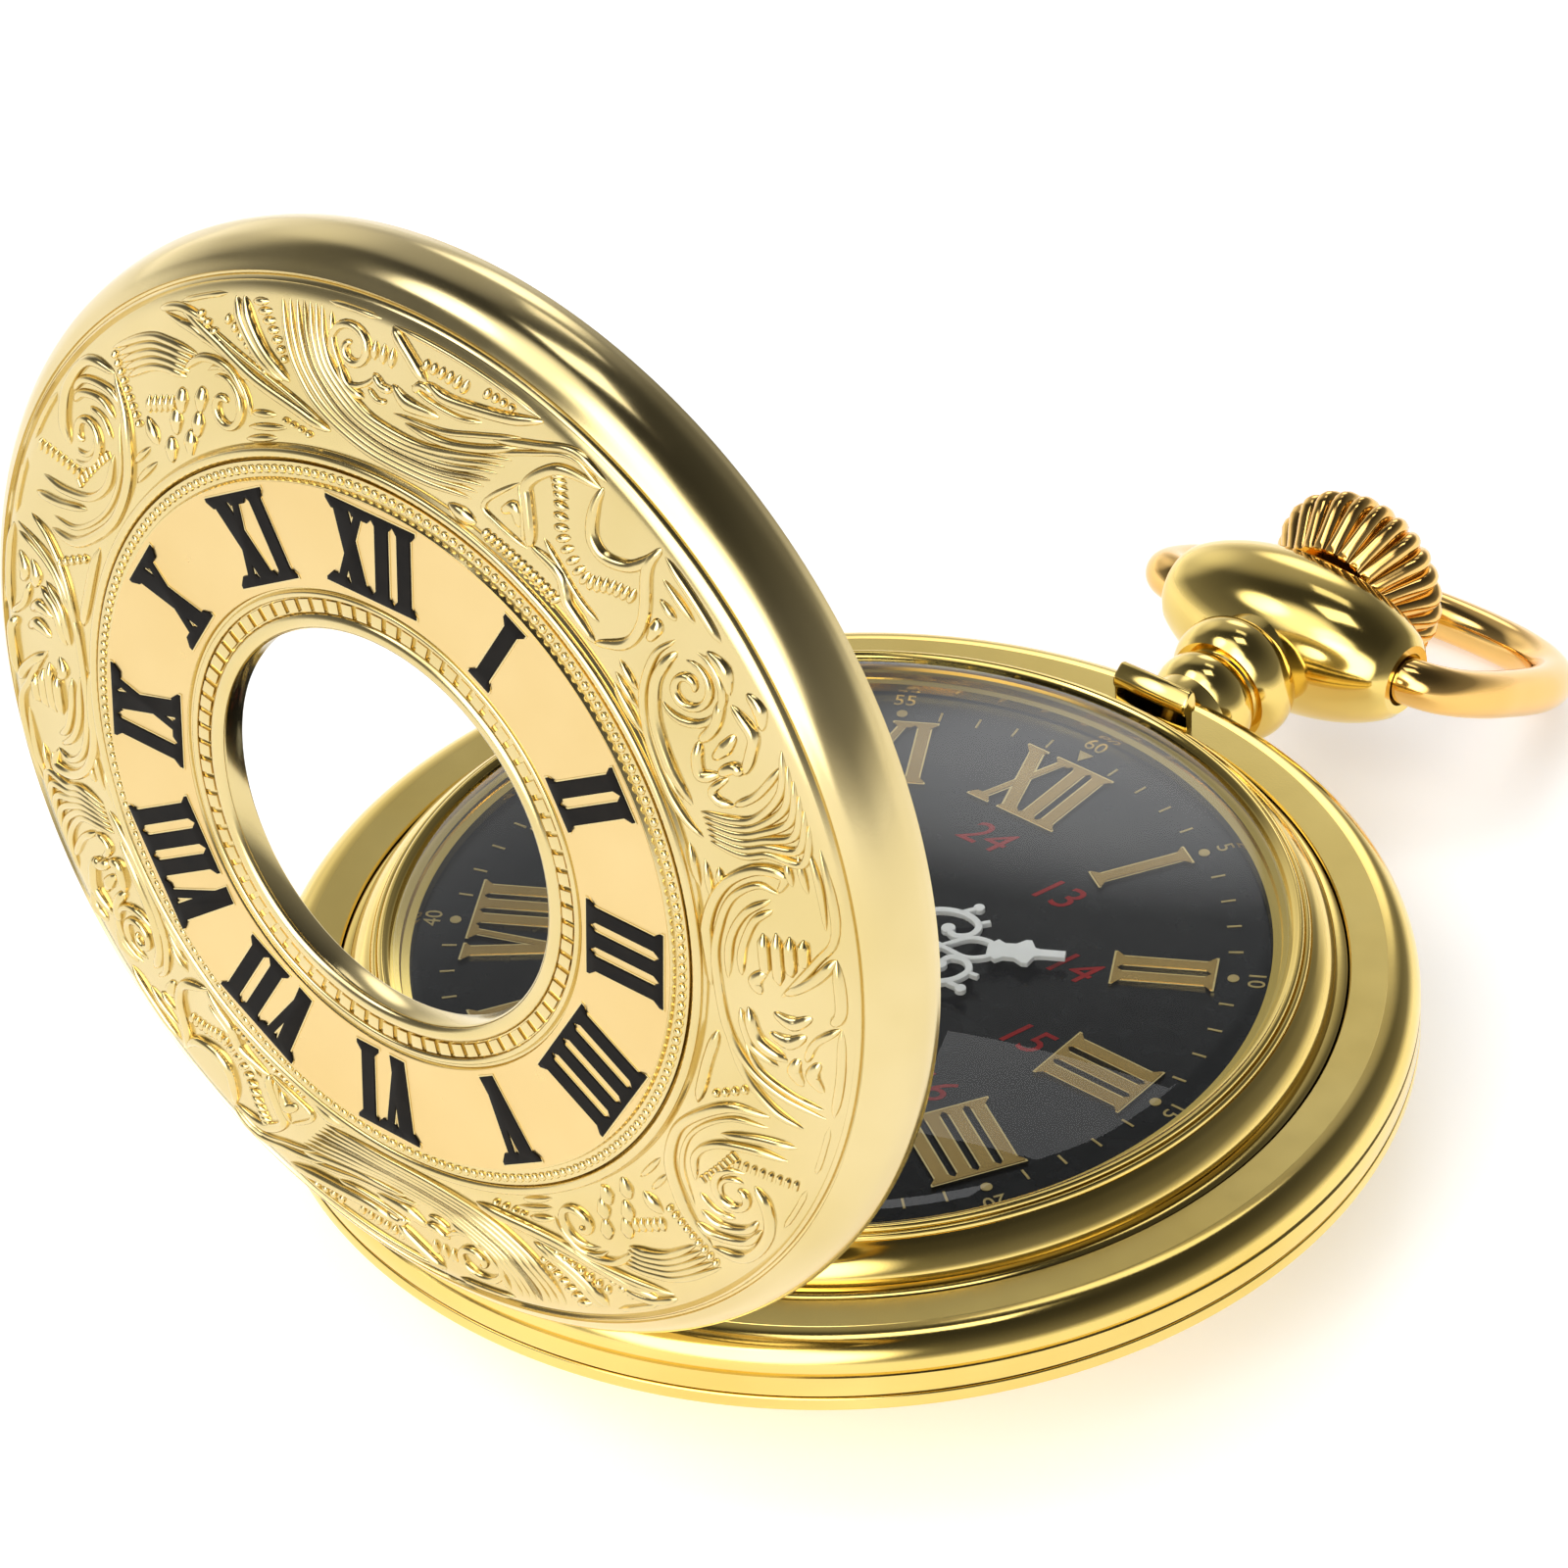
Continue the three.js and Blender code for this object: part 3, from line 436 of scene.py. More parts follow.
def case_middle():
    edge = CASE_RADIUS - 1.3
    profile = [(LEDGE_INNER, 5.35), (21.9, 5.35), (21.9, SEAM + 0.05), (CASE_RADIUS - 0.12, SEAM + 0.06)]
    profile += arc(CASE_RADIUS - 0.12, SEAM + 0.17, 0.12, -60, 0, 4)
    profile += [(CASE_RADIUS, 6.5), (CASE_RADIUS - 0.03, 6.75)]
    profile += [(CASE_RADIUS - 0.16, 6.84), (CASE_RADIUS - 0.14, 6.93)]
    profile += arc(edge, LEDGE - 1.3, 1.28, 4, 84, 16)
    profile += [(edge - 0.1, LEDGE), (LEDGE_INNER + 0.1, LEDGE), (LEDGE_INNER, LEDGE - 0.1)]
    body = Solid().turned(profile, 320)
    add_knuckles(body, (-4.5, -2.9), (-0.8, 0.8), (2.9, 4.5))
    body.piece("case_band", gold, "case", "case_gold", replaces=["case_middle"])
    bottom, top = LEDGE - 0.04, LEDGE + 0.012
    ledge = [(LEDGE_INNER + 0.02, bottom), (22.16, bottom), (22.12, top), (LEDGE_INNER + 0.06, top)]
    Solid().turned(ledge, 320).piece("case_ledge", ledge_gold, "case", "case_gold")


def add_knuckles(solid, *spans):
    """Hinge knuckles on the hinge's axis, each from start to stop along it."""
    radius, bevel = 0.7, 0.08
    for start, stop in spans:
        profile = [(0, start), (radius - bevel, start), (radius, start + bevel)]
        profile += [(radius, stop - bevel), (radius - bevel, stop), (0, stop)]
        solid.turned(profile, 32, "X", (0, HINGE.y, HINGE.z))


def back_cover():
    thickness = 0.8
    rim = arc(CASE_RADIUS - 0.22, SEAM - 0.5, 0.22, -40, 0, 5)
    rim += arc(CASE_RADIUS - 0.1, SEAM - 0.12, 0.1, 0, 90, 5)
    rings = []
    for radius in np.linspace(BACK_FLAT, CASE_RADIUS - 0.25, 26):
        height = back_height(radius)
        rings.append((radius, height))
        if abs(radius - BACK_RIB) < 0.25:
            rings += [(radius + 0.08, height + 0.16), (radius + 0.24, height + 0.2)]
            rings.append((radius + 0.3, back_height(radius + 0.3)))
    inside = [(22.2, SEAM - 0.02), (22.2, 5.1)]
    inside += [(r, back_height(r) + thickness) for r in np.linspace(21.5, BACK_FLAT, 12)]
    profile = [(0, 0), (10.2, 0)] + rings + rim + inside + [(0, thickness)]
    Solid().turned(profile, 320).piece("back_shell", gold, "case", "case_gold", replaces=["back_cover"])


def bezel():
    """One wide slope from the ledge to two fine rings at the crystal, its foot cut back behind the catch."""
    profile = [(19.1, 7.5), (20.5, 7.5), (20.5, LEDGE - 0.1), (20.4, LEDGE - 0.04), (20.1, LEDGE - 0.02)]
    profile += [(20.08, LEDGE + 0.12)]
    slope = [(20.08, 8.35), (20, 8.75), (19.72, 9.2), (19.36, 9.55), (19.08, 9.74)]
    profile += map(tuple, smooth_line(slope, 8))
    profile += [(19.04, 9.7)] + arc(18.88, 9.8, 0.14, 10, 130, 7)
    profile += [(18.76, 9.86)] + arc(18.6, 9.98, 0.16, 20, 150, 7)
    profile += [(18.3, 10.0), (18.26, 9.6), (17.9, 9.52), (17.84, 9.3)]
    profile += [(17.5, 9.24), (17.42, 8.9), (19.1, 8.9)]
    ring = Solid().turned(profile, 320)
    reach, half_width = 20.15, 2.4
    ring.vertices = [(x, min(y, reach) if abs(x) < half_width else y, z) for x, y, z in ring.vertices]
    ring.piece("bezel_ring", gold, "case", "case_gold", replaces=["bezel"])


def crystal():
    inner_top, inner_radius = 11.3, 17.3
    inner = [(r, inner_top - 1.6 * (r / inner_radius) ** 2) for r in np.linspace(1, inner_radius, 18)]
    edge = [(GLASS_RADIUS, 9.72), (GLASS_RADIUS, 10.02)]
    outside = np.linspace(GLASS_RADIUS - 0.2, 1, 20)
    outer = [(r, GLASS_TOP - 1.95 * (r / GLASS_RADIUS) ** 2) for r in outside]
    profile = [(0, inner_top)] + inner + edge + outer + [(0, GLASS_TOP)]
    Solid().turned(profile, 256).piece("crystal_dome", glass, "case", "crystal_glass", replaces=["crystal"])


def lid_catch():
    """The latch: a stem through the ledge and a head whose round top hooks over the cover's lip."""
    near, far = low("lid_catch").y, high("lid_catch").y
    half, top, foot = high("lid_catch").x, high("lid_catch").z, low("lid_catch").z
    head = [(near + 0.15, 8.15), (near + 0.12, 8.9), (near, 9.15), (near + 0.02, 9.48), (near + 0.09, 9.56)]
    head += [(far - 0.34, top - 0.04), (far - 0.22, top), (far - 0.1, top - 0.04), (far, top - 0.18)]
    head += [(far, 9.08), (far - 0.06, 9.0), (far - 0.28, 8.98)]
    stem = [(far - 0.3, foot), (near + 0.17, foot), (near + 0.17, 8.15)]
    outline = np.array(head + stem)
    middle = outline.mean(axis=0)
    left = [(-half, 0.86), (-half + 0.04, 0.95), (-half + 0.14, 1)]
    rings = []
    for x, scale in left + [(-x, scale) for x, scale in reversed(left)]:
        y_z = middle + (outline - middle) * scale
        rings.append(np.column_stack([np.full(len(outline), x), y_z]))
    Solid().loft(rings).piece("catch_tab", gold, "lid_catch", "case_gold", replaces=["lid_catch"])


# ---- pendant, bow and crown ----
def pendant():
    """A ball neck and an oval bulb that carries the bow, its far end cut flat for the crown."""
    waist = [(1.9, 22.7), (1.95, 23.4)]
    waist += arc(0.95, 24.45, 1.4, -45, 45, 9)
    waist += [(2.0, 25.55)]
    waist += arc(1.35, 26.6, 1.55, -48, 48, 11)
    waist += [(2.25, 27.9), (2.3, 29.2)]
    neck = Solid().turned([(0, 22.7)] + waist + [(0, 29.2)], 96, "Y", (0, 0, STEM_Z))
    half = high("pendant").x
    profile = [(0, -half + 0.6), (1.2, -half + 0.6), (1.2, -half + 0.02)]
    for x in np.linspace(-half, half, 41):
        radius = BULB_RADIUS * math.sqrt(1 - (x / BULB_LENGTH) ** 2)
        profile.append((radius - (0.12 if abs(x) == half else 0), x))
    profile += [(1.2, half - 0.02), (1.2, half - 0.6), (0, half - 0.6)]
    neck.turned(profile, 128, "X", (0, BOW_PIVOT.y, STEM_Z))
    neck.vertices = [(x, min(y, PENDANT_END), z) for x, y, z in neck.vertices]
    neck.piece("pendant_body", gold, "case", "case_gold", replaces=["pendant"])


def bow():
    radius = 1.05
    half = [(4.95, 0), (6.2, 0), (7.3, 0.8), (7.85, 2.6), (7.95, 5.2), (7.5, 9.4), (6, 12.9), (3.3, 15.2)]
    points = half + [(0, 15.9)] + [(-x, y) for x, y in reversed(half)]
    line = smooth_line([(x, y, 0) for x, y in points], 10)
    wire = Solid().tube(line, radius, 32)
    wire.piece("bow_wire", rose_gold, "bow", "rose_gold", BOW_PLACE, replaces=["bow"])


def crown():
    """A flared knob with round flutes. A section is (radius, distance along the stem, flute depth)."""
    start, stop = CROWN_Y
    flutes, steps_per_flute = 26, 12
    sections = [
        (2.5, 0.0, 0.0), (2.75, 0.05, 0.02), (2.95, 0.25, 0.06), (3.3, 0.7, 0.09), (3.75, 1.25, 0.11),
        (4.12, 1.75, 0.12), (CROWN_RADIUS, 2.1, 0.12), (4.22, 2.45, 0.12), (4.02, 2.85, 0.12),
        (3.68, 3.2, 0.11), (3.2, 3.5, 0.09), (2.6, 3.7, 0.06), (2.05, 3.78, 0.02), (1.8, 3.7, 0.0),
        (1.2, 3.72, 0.0), (0.6, 3.82, 0.0), (0.2, 3.85, 0.0),
    ]
    stretch = (stop - start) / sections[-1][1]
    count = flutes * steps_per_flute
    angles = np.arange(count) * TURN / count
    hollow = 1 - np.abs(np.sin(flutes * angles / 2)) ** 0.55
    rings = []
    for radius, along, depth in sections:
        r = radius * (1 - depth * hollow)
        y = np.full(count, start + along * stretch)
        rings.append(np.stack([r * np.cos(angles), y, STEM_Z + r * np.sin(angles)], -1))
    Solid().loft(rings).piece("crown_knob", rose_gold, "crown", "rose_gold", replaces=["crown"])


# ---- front cover ----
def field_height(radius):
    """Closed height of the chased field between its outer and inner edge."""
    share = np.clip((FIELD_OUTER - radius) / (FIELD_OUTER - FIELD_INNER), 0, 1)
    return 11.62 + 1.2 * share - 0.12 * share**2


def front_cover_shell():
    """The cover's turned shell: rounded rim, chased field, beaded step, numeral band and window edge."""
    rim = [(22.2, 8.35), (22.36, 8.9), (LID_RADIUS, 9.5), (22.2, 10.35), (21.75, 11.0), (21.25, 11.38)]
    profile = [(21.65, 8.3), (22.1, 8.3)]
    profile += map(tuple, smooth_line(rim, 8))
    profile += [(21.2, 11.3), (21.12, 11.3), (21.08, 11.46), (20.98, 11.56), (20.9, 11.46), (20.82, 11.5)]
    profile += [(r, float(field_height(r))) for r in np.linspace(FIELD_OUTER, FIELD_INNER, 14)]
    profile += [(15.12, 12.68)] + arc(14.86, 12.86, 0.2, -20, 200, 12) + [(14.62, 12.74), (14.58, 13.0)]
    profile += [(13.98, 13.02), (13.9, LID_TOP), (9.72, LID_TOP), (9.66, 13.08), (9.55, 13.05)]
    profile += arc(9.42, 13.08, 0.13, 0, 180, 7) + [(9.27, 13.0), (8.66, 12.98)]
    profile += arc(8.34, 12.92, 0.34, 20, 180, 12) + [(WINDOW_RADIUS, 12.1)]
    profile += [(8.05, 12.02), (8.3, 11.98), (9.7, 12.2), (14, 12.2), (15.2, 12.0)]
    profile += [(18, 11.35), (20.4, 10.75), (21.2, 10.45), (21.6, 9.9), (21.65, 9.2)]
    shell = Solid().turned(profile, 384)
    add_knuckles(shell, (-2.8, -0.9), (0.9, 2.8))
    shell.piece("cover_shell", pale_gold, *ON_COVER, replaces=["front_cover"])


def chapter_band():
    """The plain satin band that carries the numerals."""
    inner, outer, bottom, top = 9.74, 13.86, LID_TOP - 0.05, LID_TOP + 0.012
    band = [(inner, bottom), (outer, bottom), (outer, top), (inner, top)]
    Solid().turned(band, 320).piece("cover_chapter_band", satin_gold, *ON_COVER)


def bead_ring():
    """A row of small beads around the chapter band, and a row of blocks around the window."""
    beads = Solid()
    bead_count, bead_ring_radius = 216, 14.28
    block_count, block_ring_radius = 78, 8.97
    for i in range(bead_count):
        dome(beads, i * TURN / bead_count, bead_ring_radius, z=13.0, radius=0.19, height=0.15)
    block = [(-0.25, -0.26), (0.25, -0.26), (0.27, 0.26), (-0.27, 0.26)]
    for i in range(block_count):
        beads.prism([block], 12.9, 13.14, 0.06, on_clock(360 * i / block_count, block_ring_radius))
    beads.piece("cover_bead_rings", pale_gold, *ON_COVER)


def dome(solid, angle, ring_radius, z, radius, height):
    """One bead: a low dome of four rings."""
    sides = 8
    around = np.arange(sides) * TURN / sides
    centre = np.array([ring_radius * math.sin(angle), ring_radius * math.cos(angle)])
    rings = []
    for lift in (-0.2, 0.35, 0.7, 0.93):
        r = radius * math.sqrt(1 - max(lift, 0) ** 2)
        xy = centre + r * np.stack([np.cos(around), np.sin(around)], -1)
        rings.append(np.concatenate([xy, np.full((sides, 1), z + height * lift)], 1))
    solid.loft(rings)


# Roman numerals are built from slab-serifed strokes: I, V and X.
def stroke(x0, y0, x1, y1, width):
    """A straight stroke between two heights with its ends cut level."""
    return [(x0 - width / 2, y0), (x0 + width / 2, y0), (x1 + width / 2, y1), (x1 - width / 2, y1)]


def serif(x, y, width, thickness, upwards):
    """A slab with a bracket that thickens towards its stroke. upwards is 1 at the foot and -1 at the top."""
    near, far = thickness * 0.55 * upwards, thickness * 1.7 * upwards
    return [
        (x - width / 2, y), (x + width / 2, y), (x + width / 2, y + near), (x + width * 0.28, y + far),
        (x - width * 0.28, y + far), (x - width / 2, y + near),
    ]


def roman(text, height, stem, pitch, grow=0.0):
    """Polygons of a numeral, centred, its foot at -height / 2. grow widens every stroke evenly."""
    widths = {"I": pitch, "V": height * 0.52, "X": height * 0.56}
    thin = stem * 0.55
    slab = stem * 0.42
    total = sum(widths[c] for c in text)
    x = -total / 2
    foot, top = -height / 2 - grow, height / 2 + grow
    wide = stem * 1.9
    polygons = []
    for letter in text:
        width = widths[letter]
        middle = x + width / 2
        left, right = x + stem * 0.75, x + width - stem * 0.75
        if letter == "I":
            strokes = [(middle, middle, stem)]
            feet, heads, slab_width = [middle], [middle], pitch * 1.04
        elif letter == "X":
            strokes = [(right, left, stem * 1.15), (left, right, thin)]
            feet, heads, slab_width = [left, right], [left, right], wide
        else:
            strokes = [(middle, left, stem * 1.1), (middle, right, thin)]
            feet, heads, slab_width = [], [left, right], wide
        polygons += [stroke(low_x, foot, high_x, top, thick + 2 * grow) for low_x, high_x, thick in strokes]
        polygons += [serif(side, foot, slab_width + 2 * grow, slab, 1) for side in feet]
        polygons += [serif(side, top, slab_width + 2 * grow, slab, -1) for side in heads]
        x += width
    return polygons


HOURS = ["XII", "I", "II", "III", "IIII", "V", "VI", "VII", "VIII", "IX", "X", "XI"]
COVER_NUMERAL = (3.6, 0.66, 1.06)  # height, stem and pitch of the strokes
DIAL_NUMERAL = (4.1, 0.5, 0.96)


def numeral_ring(shape, radius, foot, top, bevel, grow=0.0):
    """The twelve hours, raised from foot to top."""
    ring = Solid()
    for hour, text in enumerate(HOURS):
        ring.prism(roman(text, *shape, grow), foot, top, bevel, on_clock(30 * hour, radius))
    return ring


def cover_numerals():
    """Enamelled numerals with a fine gold edge."""
    radius, foot = 11.78, LID_TOP - 0.05
    enamel = numeral_ring(COVER_NUMERAL, radius, foot, LID_TOP + 0.09, bevel=0.04)
    edging = numeral_ring(COVER_NUMERAL, radius, foot, LID_TOP + 0.05, bevel=0.03, grow=0.06)
    enamel.piece("cover_numerals", enamel_black, "front_cover", "black_lacquer", LID_PLACE)
    edging.piece("cover_numeral_edges", pale_gold, *ON_COVER)


# ---- chased scrollwork ----
# The ornament is drawn once, from 35 degrees before 12 o'clock to 158 degrees after it, and repeated half a
# turn further on. The second half was set out a few degrees off in places: SHIFT is that difference.
SHIFT_AT = [-35, -16, -5, 20, 60, 90, 105, 120, 158]
SHIFT = [-5, -6, -4, 0, 0, 0.5, 1, 3.5, 5]
MM_PER_DEGREE = math.radians(MID_RADIUS)

FINE = {"width": 0.24, "height": 0.15, "taper": 0.15}
LINE = {"width": 0.36, "height": 0.22, "taper": 0.2}
BOLD = {"width": 0.48, "height": 0.28, "taper": 0.2}
BAR = {"width": 0.32, "height": 0.2, "taper": 0.4}
LEAF = {"width": 0.6, "height": 0.26, "taper": 0.5}


def leaning(degrees):
    """One millimetre in a direction, 0 degrees pointing clockwise and 90 outwards."""
    angle = math.radians(degrees)
    return np.array([math.cos(angle) / MM_PER_DEGREE, math.sin(angle)])


class Chasing:
    """Raised rounded lines on the cover's field.

    A point is (degrees clockwise of 12, mm out from MID_RADIUS).
    """

    def __init__(self):
        self.solid = Solid()
        self.second_half = False

    def line(self, path, width, height, taper):
        path = np.asarray(path, float)
        degrees = path[:, 0]
        if self.second_half:
            degrees = degrees + 180 + np.interp(degrees, SHIFT_AT, SHIFT)
        angle = np.radians(degrees)
        radius = np.clip(MID_RADIUS + path[:, 1], FIELD_INNER + 0.12, FIELD_OUTER - 0.12)
        xy = np.stack([radius * np.sin(angle), radius * np.cos(angle)], -1)
        ahead = np.gradient(xy, axis=0)
        ahead /= np.maximum(np.linalg.norm(ahead, axis=1)[:, None], 1e-9)
        side = np.stack([-ahead[:, 1], ahead[:, 0]], -1)
        along = np.linspace(0, 1, len(path))
        swell = 0.25 + 0.75 * np.sqrt(np.clip(np.minimum(along, 1 - along) / taper, 0, 1))
        turns = np.linspace(0, math.pi, 8)
        rings = []
        for point, across, r, size in zip(xy, side, radius, swell):
            flat = point + np.cos(turns)[:, None] * across * width / 2 * size
            z = field_height(r) - 0.05 + np.sin(turns) ** 0.8 * (height + 0.05) * size
            rings.append(np.concatenate([flat, z[:, None]], 1))
        self.solid.loft(rings)

    def curve(self, *points, style=LINE):
        self.line(smooth_line(points, 6), **style)

    def curves(self, *lines, style=LINE):
        for points in lines:
            self.curve(*points, style=style)

    def fan(self, first, second, count, style=LINE):
        """Lines that change evenly from the first curve to the second."""
        first, second = np.asarray(first, float), np.asarray(second, float)
        for share in np.linspace(0, 1, count):
            self.curve(*(first + (second - first) * share), style=style)

    def curl(self, centre, start_radius, end_radius, start, stop, style=LINE):
        """A spiral about a centre. Radii are in mm, and 0 degrees points clockwise, 90 outwards."""
        angles = np.radians(np.linspace(start, stop, max(10, int(abs(stop - start) / 14))))
        radii = np.linspace(start_radius, end_radius, len(angles))
        along = centre[0] + radii * np.cos(angles) / MM_PER_DEGREE
        self.line(np.stack([along, centre[1] + radii * np.sin(angles)], -1), **style)

    def bars(self, start, stop, count, reach, lean, style=BAR):
        """A row of short bars with their feet from start to stop, reach[0] to reach[1] mm long."""
        direction = leaning(lean)
        for share in np.linspace(0, 1, count):
            foot = np.asarray(start) + (np.asarray(stop) - np.asarray(start)) * share
            length = reach[0] + (reach[1] - reach[0]) * share
            self.line(np.linspace(foot, foot + direction * length, 6), **style)


def band(c):
    """A plain sloping band, edged by long lines, that leads into the ridge."""
    c.curve((-31, 2.5), (-23.5, 2.5), style=FINE)
    c.curve((-34, 2.3), (-29, 1.2), (-24, 0), (-23, -0.6))
    c.curve((-31.5, 2.4), (-27, 1), (-21, -0.6), (-13, -1.7), (-9, -2.1), style=BOLD)
    c.curve((-29, 1.8), (-24, 0.5), (-19, -0.5), (-14, -1.3), (-9.5, -2), style=FINE)
    c.bars((-17, -2.1), (-13, -2.5), 4, (0.25, 0.3), 60)


def ridge(c):
    """A double ridge from the rim inwards, with a ladder of bars inside it and slanted bars beside it."""
    for gap in (0, 1.2):
        c.curve((-22.3 + gap, 2.4), (-21.8 + gap, 1.4), (-20 + gap, 0.3), (-16.8 + gap, -0.6), style=BOLD)
    c.bars((-19.9, 2.2), (-16.6, 0.2), 7, (0.75, 0.4), 0)
    c.bars((-24.4, 1.4), (-19.6, -0.4), 7, (0.45, 0.35), 62)


def bundle(c):
    """The long bundle of ridges that drops from the rim and runs on along the inner edge."""
    outer = [(-15.5, 2.4), (-15.2, 1.2), (-14, 0), (-11, -1.2), (-6, -2), (0, -2.4), (8, -2.35), (15, -1.9)]
    middle = [(-12.5, 2.4), (-12, 1.1), (-10.4, -0.1), (-6.5, -1.2), (-2, -1.7), (3, -1.85), (10, -1.6)]
    middle.append((16.5, -0.8))
    inner = [(-10, 2.4), (-9.6, 1.1), (-8, 0.1), (-4, -0.85), (0, -1.2), (6, -1.2), (12, -0.6), (18, 0.4)]
    c.fan(outer, middle, 4)
    c.fan(middle, inner, 4)
    c.curve((-9, 2.6), (-2, 2.55), style=FINE)
    c.curve((-8.7, 2.3), (-8.3, 1.1), (-6.9, 0.2), style=FINE)
    c.curve((1, -0.6), (8, -0.3), (13, 0.4), (18.5, 1.45), style=FINE)
    c.curve((3, -0.75), (9, -0.6), (14, 0.05), (18, 0.95))
    c.line(np.linspace((12, -2.65), (17, -2.6), 8), **LEAF)


def hook(c):
    """A small spiral with oval bars beside it."""
    c.curl((-5.6, 1.15), 1.05, 0.18, 215, -260)
    c.curl((-5.6, 1.15), 1.35, 1.3, 200, 330, style=FINE)
    c.curve((-7.5, 0.5), (-6, -0.2), (-3.5, -0.5))
    c.bars((-2.4, 1.0), (0, 0.95), 3, (0.75, 0.8), 90)
    c.curve((-2.4, 0.55), (-1, 0.2), (0.6, 0.2))
    c.curve((-3, -0.05), (-1.5, -0.35), (0, -0.3), style=FINE)


def blade(c):
    """A pointed panel along the rim with two groups of oval bars."""
    c.curve((-0.5, 2.45), (2, 1.8), (5, 1.05), style=BOLD)
    c.curve((5, 1.1), (8, 0.95), (12, 1.25), (16, 1.75), (19.4, 2.45), style=BOLD)
    c.curve((-0.5, 2.5), (9, 2.5), (19, 2.5), style=FINE)
    c.bars((4.4, 1.45), (9.6, 1.4), 6, (0.5, 0.65), 80)
    c.bars((12.4, 1.75), (15.6, 2.0), 4, (0.5, 0.3), 80)
    c.curve((0.4, 0.4), (3, 0), (7.5, 0.1), style=LEAF)
    c.curve((3, 0.7), (6, 0.5), (10, 0.55), (13, 0.9), style=FINE)
    c.curve((3.6, 0.55), (4.4, 0.9), (6.4, 0.85))


def shield(c):
    """A shield with a scalloped top towards the rim and a row of cuts that winds through it."""
    for gap, style in ((0, LINE), (0.35, FINE)):
        start, shoulder = (15 + gap * 3, 0.6 - gap), (24, 2.45 - gap * 0.7)
        c.curve(start, (20, 1.6 - gap), shoulder, (28.3, 2.45 - gap), style=style)
    c.curve((28.3, 2.1), (24, 1.6), (22, 0.9), (21, 0.1), (22, -0.4), (24.5, -1.4), (25, -1.8), style=BOLD)
    c.curve((25, -1.75), (30, -1.6), (32, -1.9), (33.5, -2.2), (36, -2.3), (39.5, -2.4), style=BOLD)
    c.curve((39.5, -2.4), (42, -1.2), (41, 0), (37.2, 1.4), (36.7, 2.4), style=BOLD)
    scallop = [(28.3, 2.2), (28.8, 1.4), (30.5, 0.5), (33, 0.3), (35.5, 0.8), (36.5, 1.5), (36.7, 2.4)]
    c.curve(*scallop, style=BOLD)
    cuts = smooth_line([(23, 1.4), (25, 0.7), (28, -0.5), (33, -0.95), (36, -0.3), (39, 0.3)], 4)
    for (x, y), (next_x, next_y) in zip(cuts, cuts[1:]):
        lean = math.degrees(math.atan2(next_y - y, (next_x - x) * MM_PER_DEGREE)) + 75
        half = leaning(lean) * 0.34
        c.line(np.linspace((x, y) - half, (x, y) + half, 6), **BAR)
    c.curve((20, -0.1), (17, -1.7), (20, -2), (25, -1.95), style=FINE)
    c.curve((20, -0.1), (22.4, -1), (24, -1.8), style=FINE)
    c.curve((19.5, -1.5), (21, -1), (22.6, -1.5), style=LEAF)
    c.bars((18.5, -2.85), (31.5, -2.8), 13, (0.5, 0.6), 62)
    c.curve((26, -1.1), (29, -1.35), (34, -1.7), (38, -1.7), style=FINE)
    c.curve((37.5, 2.3), (43, 2.25), (47.5, 2.2))
    c.curves([(39, 1.65), (42, 1.7), (44.5, 1.7)], [(40.4, 1.05), (42, 1.1), (43.2, 1.1)], style=BAR)
    c.curve((41.8, 0.5), (42.6, 0.2), (43.2, -0.4), style=LEAF)
    c.curves([(43, -1.9), (47.5, -1.95)], [(44, -2.35), (49.5, -2.35)], [(45, -2.8), (53, -2.8)], style=BAR)


def small_volute(c):
    """A spiral on two long stems, a lobed leaf, and nested crescents behind it."""
    c.curve((47.5, 1.5), (50, 1.75), (52.5, 1.4), style=LEAF)
    c.curl((50, 0.05), 1.4, 1.3, 130, -90)
    c.curl((50, 0.05), 1.0, 0.2, 150, -330)
    c.curve((46, 0.4), (46.4, -0.3), (48, -1.15), (52, -1.9), (58, -2.2), (63.5, -2), style=BOLD)
    c.curve((44.8, 0.6), (45, -0.5), (48, -1.75), (53, -2.45), (60, -2.7), (65, -2.45), (68, -2))
    c.curve((48, -1.45), (52.5, -2.2), (58, -2.45), (63, -2.3), style=FINE)
    c.curves([(52.5, 1.1), (55, 0.3), (56, -0.6)], [(56, -0.6), (58, -1), (60, -1.1), (60.4, -0.4)],
             [(60.2, -0.4), (60, 0.3), (61, 0.6)], [(61, 0.6), (59, 1.2), (57, 1.6), (53.5, 1.3)], style=BOLD)
    c.curve((53, 2.1), (55, 2.3), (57, 2.0), style=LEAF)
    c.curve((56.6, 0.9), (57.6, 0.3), (58.4, -0.4), style=LEAF)
    c.curves([(61, -0.1), (62, -0.9), (63.5, -0.8), (64.3, -0.3)], [(64.3, -0.3), (63.5, 0.8), (61, 2.2)])
    for share in np.linspace(0, 1, 6):
        top, belly = 59.5 + 8 * share, 66 + 4.4 * share
        c.curve((top, 2.4), (top + 4, 1.8), (belly, 0.5), (belly, -0.5), (64.5 + 4 * share, -1.75))
    c.curve((70, 2.1), (74, 2.2), (79, 2.1), style=BAR)
    c.curves([(70.6, 1.6), (75, 1.65)], [(71.2, 1.1), (74.2, 1.1)], style=BAR)
    c.curves([(72, -1.7), (74.5, -1.75)], [(71, -2.2), (77, -2.25)], [(68.5, -2.65), (75, -2.7)], style=BAR)


